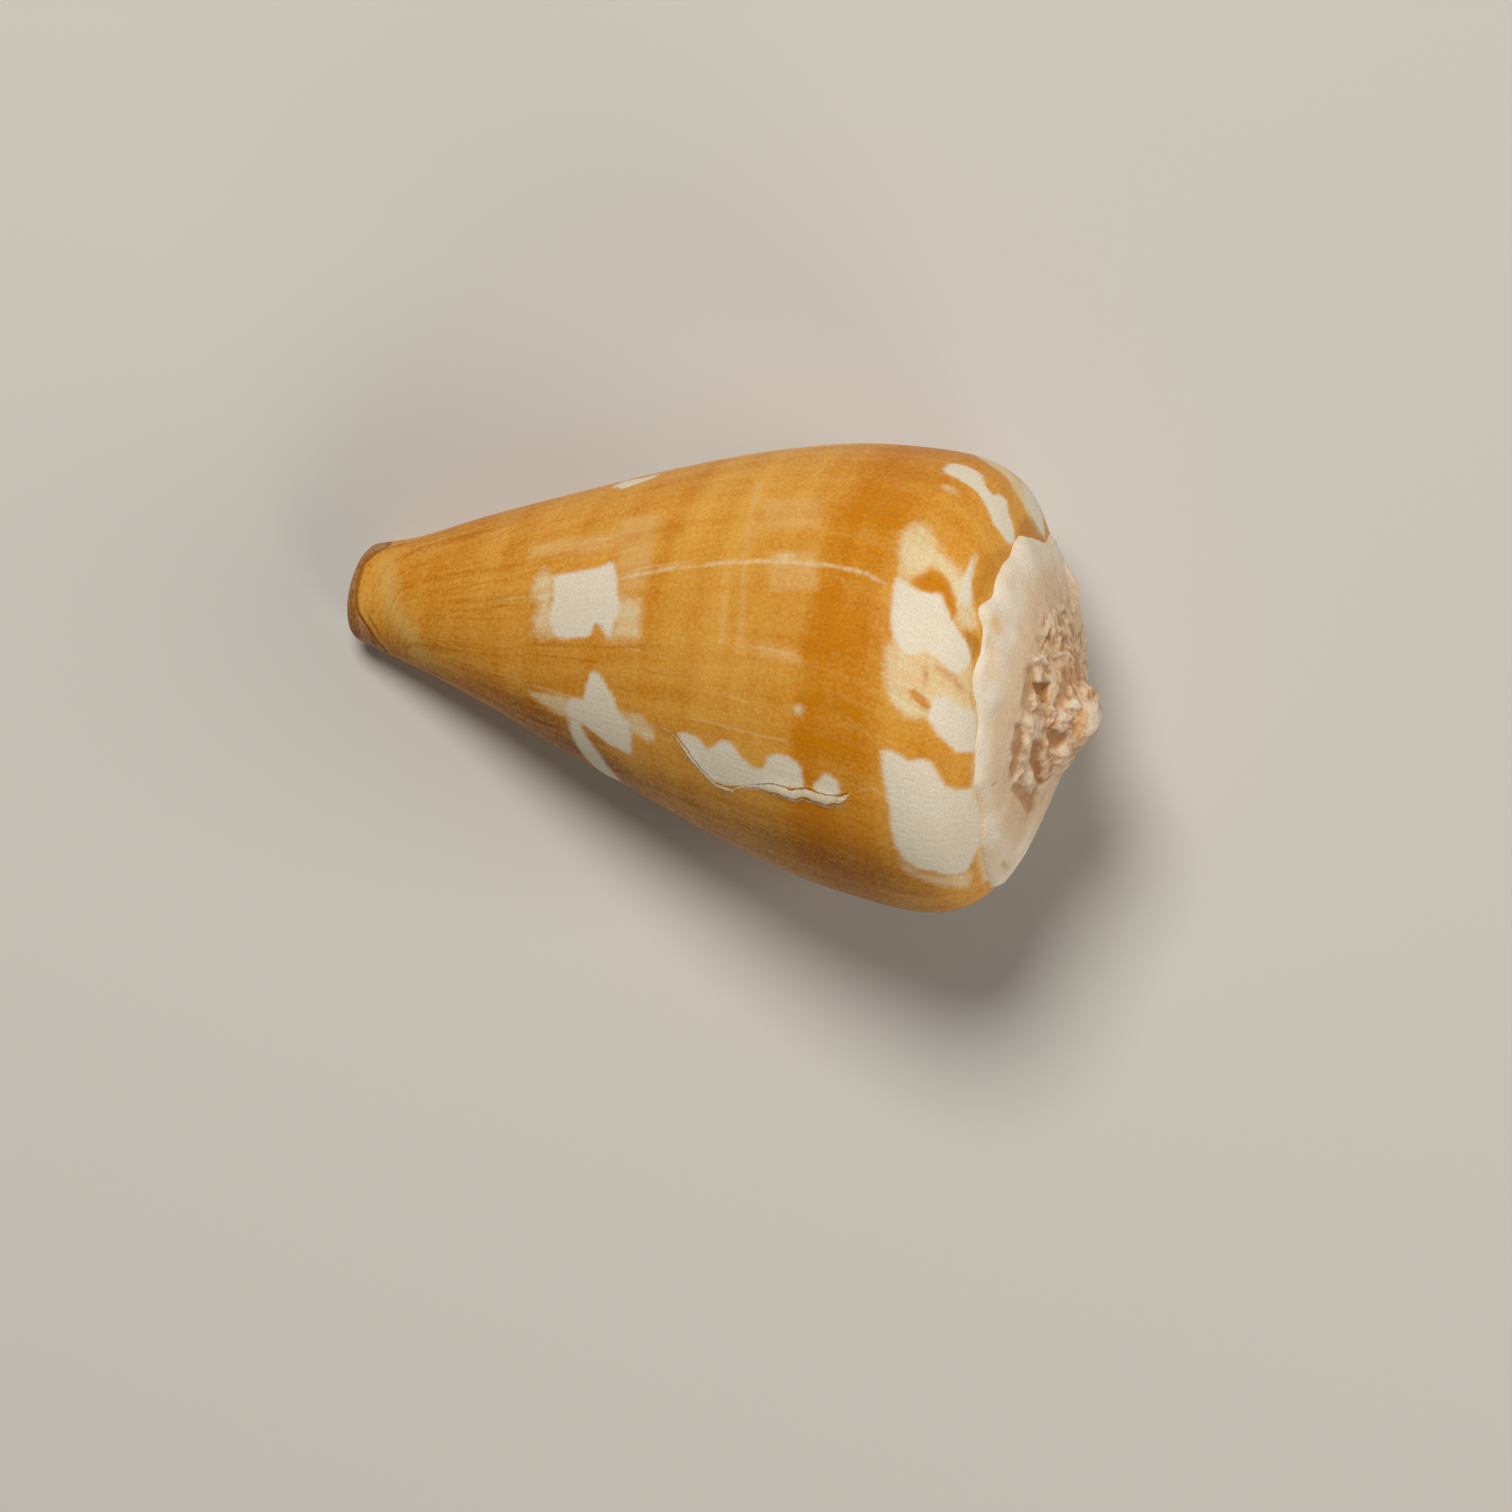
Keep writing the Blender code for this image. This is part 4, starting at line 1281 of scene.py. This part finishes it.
# The mottlings of the glaze: size, detail and contrast, and how much they deepen the orange.
GLAZE_MOTTLINGS = {"grain": (0.13, 4.0, 2.2, 0.60), "cloud": (1.40, 2.0, 1.6, 0.40)}
# The drawn lines of the glaze: the layer, its colour and how strongly it is laid on.
GLAZE_DRAWN = (("shade", "brown", 0.80), ("line", "cream", 0.65))
DRAWN_SOFTNESS = (-0.05, 0.09)
# Fine speckle over a whole piece: size, detail and contrast.
SPECKLE = (0.07, 5.0, 2.4)
# By which powers green and blue follow the tone of the glaze, so that it is warmer where it is dark.
WARM_GREEN = 1.6
WARM_BLUE = 2.6


def band_depth(glaze, length):
    bands = glaze.node("ShaderNodeValToRGB", {"Fac": glaze.maths("DIVIDE", length, LONGEST)})
    steps = bands.color_ramp.elements
    while len(steps) < len(BAND_DEPTHS):
        steps.new(MIDDLE)
    for step, (place, depth) in zip(steps, BAND_DEPTHS):
        step.position = place / LONGEST
        step.color = (depth, depth, depth, 1)
    return bands.outputs["Color"]


def lay_orange(glaze):
    """The orange with its bands and uneven lines; what it is made of is used again further on."""
    seen = {name: glaze.attribute(name) for name in ("length", "behind")}
    depth = band_depth(glaze, seen["length"])
    for name, (across, along, spacing, length, seed, contrast, weight) in GLAZE_LINES.items():
        values = {"Spacing": spacing, "Length": length, "Seed": seed, "Contrast": contrast}
        seen[name] = glaze.placed("drawn lines", Across=seen[across], Along=seen[along], **values)
        depth = glaze.plus(depth, glaze.about(seen[name]), weight)
    for name, (size, detail, contrast, weight) in GLAZE_MOTTLINGS.items():
        seen[name] = glaze.mottling(size, detail, contrast)
        depth = glaze.plus(depth, glaze.about(seen[name]), weight)
    depth = glaze.node("ShaderNodeClamp", {"Value": depth}).outputs[0]
    glaze.base = glaze.mixed(depth, "light_orange", "deep_orange")
    return seen


def lay_browns(glaze, seen):
    """The crescent behind the rim, the mottling with painted shade of the lower side, and the streaks
    towards the front end.
    """
    streaks = glaze.plus(seen["broad"], glaze.about(seen["fine"]), 1.1)
    streaks = seen["streaks"] = glaze.plus(streaks, glaze.about(seen["grain"]), 0.45)
    glaze.coat(glaze.mark("crescent", 0.3, 0.5), "crescent", strength=0.8)
    # The mottled layer: real mottling, and along the lower side painted shade.
    mottled = glaze.ramp(glaze.attribute("mottled"), -1.0, 1.5)
    blotches = glaze.plus(streaks, glaze.about(seen["grain"]), 0.6)
    glaze.coat(mottled, "brown", strength=glaze.ramp(blotches, 0.0, 0.9, 0.45, 1.0))
    front = glaze.ramp(seen["length"], 0.3, 11.0, 0.34, 0.0)
    glaze.coat(front, "brown", strength=glaze.ramp(streaks, 0.5, 0.95))


def lay_patches(glaze, seen):
    """The pale and white patches, and the orange and brown that lie over them."""
    straw = glaze.mixed(0.35, "light_orange", "cream")
    worn_white = glaze.mixed(glaze.ramp(seen["cloud"], 0.3, 0.9, 0.0, 0.16), "white", "cream")
    dark_orange = glaze.mixed(0.45, "deep_orange", "brown")
    light_strength = glaze.ramp(seen["streaks"], 0.0, 1.0, 0.65, 0.35)
    pale_strength = glaze.ramp(seen["streaks"], 0.1, 0.8, 1.0, 0.62)
    seen["white"] = glaze.mark("white", 0.45, 0.22)
    glaze.coat(glaze.mark("light", 0.3, 0.5), straw, light_strength)
    glaze.coat(glaze.mark("pale", 0.6, 0.28), "cream", pale_strength)
    glaze.coat(seen["white"], worn_white)
    glaze.coat(glaze.mark("orange", 0.5, 0.3), "deep_orange", strength=0.85)
    glaze.coat(glaze.mark("wedge", 0.5, 0.3), dark_orange, strength=0.6)


def lay_lines(glaze, seen):
    """The fine dark and pale lines, from their signed distance and half their width."""
    wander = seen["wander"] = glaze.about(glaze.mottling(0.30, 3.0, 0.14))
    broken_up = glaze.ramp(seen["round"], 0.2, 0.7, 0.6, 1.0)
    for layer, shade, strength in GLAZE_DRAWN:
        away = glaze.maths("ABSOLUTE", glaze.maths("ADD", glaze.attribute(layer), wander))
        within = glaze.maths("SUBTRACT", glaze.attribute(layer + "_width"), away)
        drawn = glaze.times(glaze.ramp(within, *DRAWN_SOFTNESS), broken_up)
        glaze.coat(drawn, shade, strength)


def lay_scar(glaze, seen):
    """The healed break: a pale ridge with a chipped edge, and a crack along one side, painted brown as the
    shadow under the ridge.
    """
    place = glaze.maths("ADD", glaze.attribute("scar"), seen["wander"])
    width = glaze.attribute("scar_width")
    from_middle = glaze.maths("ABSOLUTE", glaze.maths("ADD", place, width))
    chipped = glaze.about(glaze.mottling(0.14, 3.0, 0.16))
    within = glaze.maths("SUBTRACT", width, glaze.maths("ADD", from_middle, chipped))
    ridge = seen["ridge"] = glaze.ramp(within, -0.015, 0.025)
    # The crack beside the ridge is dented and painted brown: a painted shadow under the ridge's edge.
    crack = glaze.times(glaze.ramp(place, 0.0, 0.02), glaze.ramp(place, 0.06, 0.03))
    crack = seen["crack"] = glaze.times(crack, glaze.ramp(width, 0.01, 0.06))
    glaze.coat(ridge, glaze.mixed(0.45, "white", "cream"))
    glaze.coat(crack, "brown", strength=0.3)


def lay_rim(glaze, seen):
    """The front end's brown rim, a painted highlight along its outer edge and the groove behind it, and the
    hollow's inside.
    """
    rim = glaze.attribute("rim")
    rim_tone = glaze.mixed(glaze.ramp(seen["streaks"], 0.2, 0.9), "rim", "brown")
    glaze.coat(glaze.ramp(rim, 0.05, -0.10), rim_tone, strength=0.85)
    # A paler band, mixed from the rim and inside colours, along the rim's very edge: a painted highlight.
    rim_edge_highlight = glaze.ramp(seen["length"], 0.16, 0.04)
    rim_highlight_tone = glaze.mixed(0.5, "rim", "inside")
    glaze.coat(rim_edge_highlight, rim_highlight_tone, strength=glaze.ramp(seen["grain"], 0.3, 0.8, 0.3, 0.9))
    seen["groove"] = glaze.times(glaze.ramp(rim, -0.09, 0.0), glaze.ramp(rim, 0.16, 0.04))
    glaze.coat(seen["groove"], "brown", strength=0.75)
    glaze.coat(glaze.ramp(glaze.attribute("inner"), 0.2, 0.8), "inside")


def lay_tone(glaze, seen):
    """Speckle over all of it, and streaks except on the white, both warmer where they are dark."""
    lines = glaze.maths("ADD", glaze.times(seen["fine"], 0.18), glaze.times(seen["round"], 0.12))
    on_white = glaze.ramp(seen["white"], 0.0, 1.0, 1.0, 0.12)
    lines = glaze.times(glaze.maths("SUBTRACT", lines, 0.15), on_white)
    speckle = glaze.plus(0.93, glaze.mottling(*SPECKLE), 0.14)
    tone = glaze.maths("ADD", speckle, lines)
    warm = {0: tone, 1: glaze.maths("POWER", tone, WARM_GREEN), 2: glaze.maths("POWER", tone, WARM_BLUE)}
    glaze.tint(glaze.node("ShaderNodeCombineColor", warm).outputs[0])


def whorl_material():
    """Orange glaze with growth lines, pale bands and patches, the scar and the front end's rim; with painted
    shade along the lower side, a painted shadow beside the scar and a painted highlight on the rim's edge.
    """
    glaze = Finish("orange shell")
    seen = lay_orange(glaze)
    for lay in (lay_browns, lay_patches, lay_lines, lay_scar, lay_rim, lay_tone):
        lay(glaze, seen)
    glaze.gets("Base Color", glaze.base)
    glaze.gets("Specular IOR Level", 0.06)
    glaze.gets("Roughness", glaze.plus(0.30, seen["grain"], 0.14))
    glaze.relief(
        (seen["fine"], sizes().striae_depth / MM), (seen["round"], 0.004), (seen["grain"], 0.006),
        (seen["ridge"], 0.05), (seen["crack"], -0.03), (seen["groove"], -0.04),
    )
    return glaze.material


def growth_material():
    """Pinkish white crust, smooth at its edge and pitted, brown and beige in its middle."""
    crust = Finish("spire crust")
    grain = crust.mottling(0.10, 4.0, 2.0)
    cloud = crust.mottling(0.9, 3.0, 2.0)
    coarse = crust.mottling(0.32, 4.0, 2.6)
    rough = crust.mark("rough", 0.25, 0.4)
    tone = crust.attribute("tone")
    worn = crust.mixed(crust.ramp(coarse, 0.35, 0.85), "rough_growth", "brown_growth")
    clouded = crust.ramp(cloud, 0.2, 0.8, 0.0, 0.35)
    far_out = crust.ramp(crust.attribute("rough"), -0.7, -1.5)

    crust.base = crust.mixed(clouded, "smooth_growth", "rough_growth")
    crust.coat(far_out, "pale_growth", strength=crust.ramp(cloud, 0.2, 0.9, 0.85, 0.5))
    crust.coat(rough, worn, strength=0.85)
    crust.coat(crust.ramp(crust.attribute("lump"), 0.0, 0.09), "pale_growth", strength=0.6)
    crust.coat(crust.ramp(tone, 0.05, 1.1), "pale_growth", strength=0.95)
    crust.coat(crust.ramp(tone, -0.05, -1.2), "brown_growth", strength=0.95)
    crust.coat(crust.mark("orange", 0.5, 0.3), "light_orange", strength=0.5)
    crust.coat(crust.mark("green", 0.6, 0.3), "crescent", strength=0.35)
    crust.tint(crust.plus(0.92, crust.mottling(*SPECKLE), 0.16))

    crust.gets("Base Color", crust.base)
    crust.gets("Specular IOR Level", 0.25)
    crust.gets("Roughness", crust.plus(0.45, coarse, 0.25))
    crust.relief((coarse, crust.plus(0.008, rough, 0.03)), (grain, 0.012))
    return crust.material


class MESH_OT_cone_shell(bpy.types.Operator):
    """The last whorl: a sheet bent round into the whorl, its lip and the hollow behind it"""

    bl_idname = "mesh.cone_shell"
    bl_label = "Cone Shell"

    def execute(self, context):
        start_afresh()
        points, rows, turns, inner = whorl_grid()
        front, top = close_front(points[0]), close_top(points[-1])
        points = np.concatenate((front, points, top))
        rows, turns, inner = with_caps(rows), with_caps(turns), with_caps(inner)
        count, columns = rows.shape
        bpy.ops.mesh.primitive_grid_add(x_subdivisions=columns, y_subdivisions=count - 1, size=1)
        piece = context.object
        piece.name = piece.data.name = "cone_shell"
        closed = np.concatenate((points, points[:, :1]), 1)
        write_points(piece, lay_down(closed).reshape(-1, 3))

        length = length_at(rows)
        angle = LIP_ANGLE - through(OUTLINE, rows)[..., 3] + 360 * turns
        outside = (inner < 0.5) & (turns > -1)
        sheet = points[CAP_ROWS:-CAP_ROWS, HOLLOW_COLUMNS : HOLLOW_COLUMNS + OUTSIDE_COLUMNS + 1]
        layers = whorl_layers(sheet, length, angle, outside)
        values = {"length": length, "behind": lines_behind(length, turns), "inner": inner}
        for name, drawn in layers.items():
            values[name] = np.full(rows.shape, -1.0)
            values[name][outside] = drawn
        widths = np.maximum(values["scar_width"], 0)
        near_scar = np.exp(-(((values["scar"] + widths) / (widths + SCAR_SHOULDER)) ** 2))
        values["raised"] = near_scar * widths / SCAR_WIDEST * sizes().scar_height / MM
        for name, value in values.items():
            give_attribute(piece, name, np.concatenate((value, value[:, :1]), 1))
        finish_mesh(piece)
        push_out(piece, "raised")
        piece.data.materials.append(whorl_material())
        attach(piece, "root")
        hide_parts("shell")
        return {"FINISHED"}


class MESH_OT_spire_growth(bpy.types.Operator):
    """The worn spire with the growth that covers it: a ball pushed into a rough low dome"""

    bl_idname = "mesh.spire_growth"
    bl_label = "Spire Growth"

    def execute(self, context):
        start_afresh()
        bpy.ops.mesh.primitive_uv_sphere_add(segments=DOME_SEGMENTS, ring_count=DOME_RINGS, radius=1)
        piece = context.object
        piece.name = piece.data.name = "spire_growth"
        ball = read_points(piece)
        share = np.arccos(np.clip(ball[:, 2], -1, 1)) / np.pi
        angle = np.degrees(np.arctan2(ball[:, 0], ball[:, 1]))
        border = Border()
        radius, height = dome_surface(share, angle, border)
        points = shell_points(height, radius, angle)
        layers = growth_layers(points[:, 1:], border)
        above = smooth_step((DOME_SHARE - share) / LUMPS_END_OVER)
        layers["lump"] = lumps(points, layers["rough"]) * above
        layers["raised"] = layers["raised"] * above + layers["lump"]
        write_points(piece, lay_down(points))
        for name, values in layers.items():
            give_attribute(piece, name, values)
        finish_mesh(piece)
        push_out(piece, "raised")
        piece.data.materials.append(growth_material())
        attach(piece, "root")
        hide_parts("shell")
        return {"FINISHED"}


class SCENE_OT_shell_stage(bpy.types.Operator):
    """A plain pale floor, three soft lamps, and a camera with a long lens nearly straight above"""

    bl_idname = "scene.shell_stage"
    bl_label = "Stage"

    def execute(self, context):
        start_afresh()
        bpy.ops.mesh.primitive_plane_add(size=FLOOR_SIZE * MM)
        floor = context.object
        floor.name = "floor"
        matt = Finish("pale floor")
        matt.gets("Base Color", FLOOR_COLOUR)
        matt.gets("Roughness", FLOOR_ROUGHNESS)
        floor.data.materials.append(matt.material)
        for name, place, size, power, shade in LAMPS:
            start_afresh()
            bpy.ops.object.light_add(type="AREA", location=Vector(place) * MM)
            lamp = context.object
            lamp.name = name
            lamp.data.shape = "DISK"
            lamp.data.size = size * MM
            lamp.data.energy = power
            lamp.data.color = shade
            lamp.rotation_euler = (-lamp.location).to_track_quat("-Z", "Y").to_euler()
        world = bpy.data.worlds.new("soft room")
        world.use_nodes = True
        background = world.node_tree.nodes["Background"]
        background.inputs["Color"].default_value = WORLD_COLOUR
        background.inputs["Strength"].default_value = WORLD_STRENGTH
        context.scene.world = world
        context.scene.view_settings.view_transform = VIEW_TRANSFORM
        start_afresh()
        bpy.ops.object.camera_add(location=eye_place() * MM)
        camera = context.object
        camera.name = "camera"
        camera.rotation_euler = camera_turn().to_euler()
        camera.data.sensor_width = SENSOR_WIDTH
        camera.data.lens = SENSOR_WIDTH * VIEW_DISTANCE / VIEW_WIDTH
        camera.data.clip_start = VIEW_DISTANCE * MM * CLIP_SHARE
        context.scene.camera = camera
        return {"FINISHED"}


class VIEW3D_PT_cone_shell(bpy.types.Panel):
    """The shell's pieces and its stage"""

    bl_idname = "VIEW3D_PT_cone_shell"
    bl_label = "Cone Shell"
    bl_space_type = "VIEW_3D"
    bl_region_type = "UI"
    bl_category = "Cone Shell"

    def draw(self, context):
        for name in ("mesh.cone_shell", "mesh.spire_growth", "scene.shell_stage"):
            self.layout.operator(name)
        for group in (context.scene.shell_sizes, context.scene.shell_colours):
            for name in group.bl_rna.properties.keys():
                if name not in ("rna_type", "name"):
                    self.layout.prop(group, name)


CLASSES = (
    ShellSizes, ShellColours, MESH_OT_cone_shell, MESH_OT_spire_growth, SCENE_OT_shell_stage,
    VIEW3D_PT_cone_shell,
)


def register():
    for made in CLASSES:
        bpy.utils.register_class(made)
    bpy.types.Scene.shell_sizes = bpy.props.PointerProperty(type=ShellSizes)
    bpy.types.Scene.shell_colours = bpy.props.PointerProperty(type=ShellColours)


def unregister():
    del bpy.types.Scene.shell_colours
    del bpy.types.Scene.shell_sizes
    for made in reversed(CLASSES):
        bpy.utils.unregister_class(made)


def main():
    register()
    bpy.ops.scene.shell_stage()
    bpy.ops.mesh.cone_shell()
    bpy.ops.mesh.spire_growth()


if __name__ == "__main__":
    main()
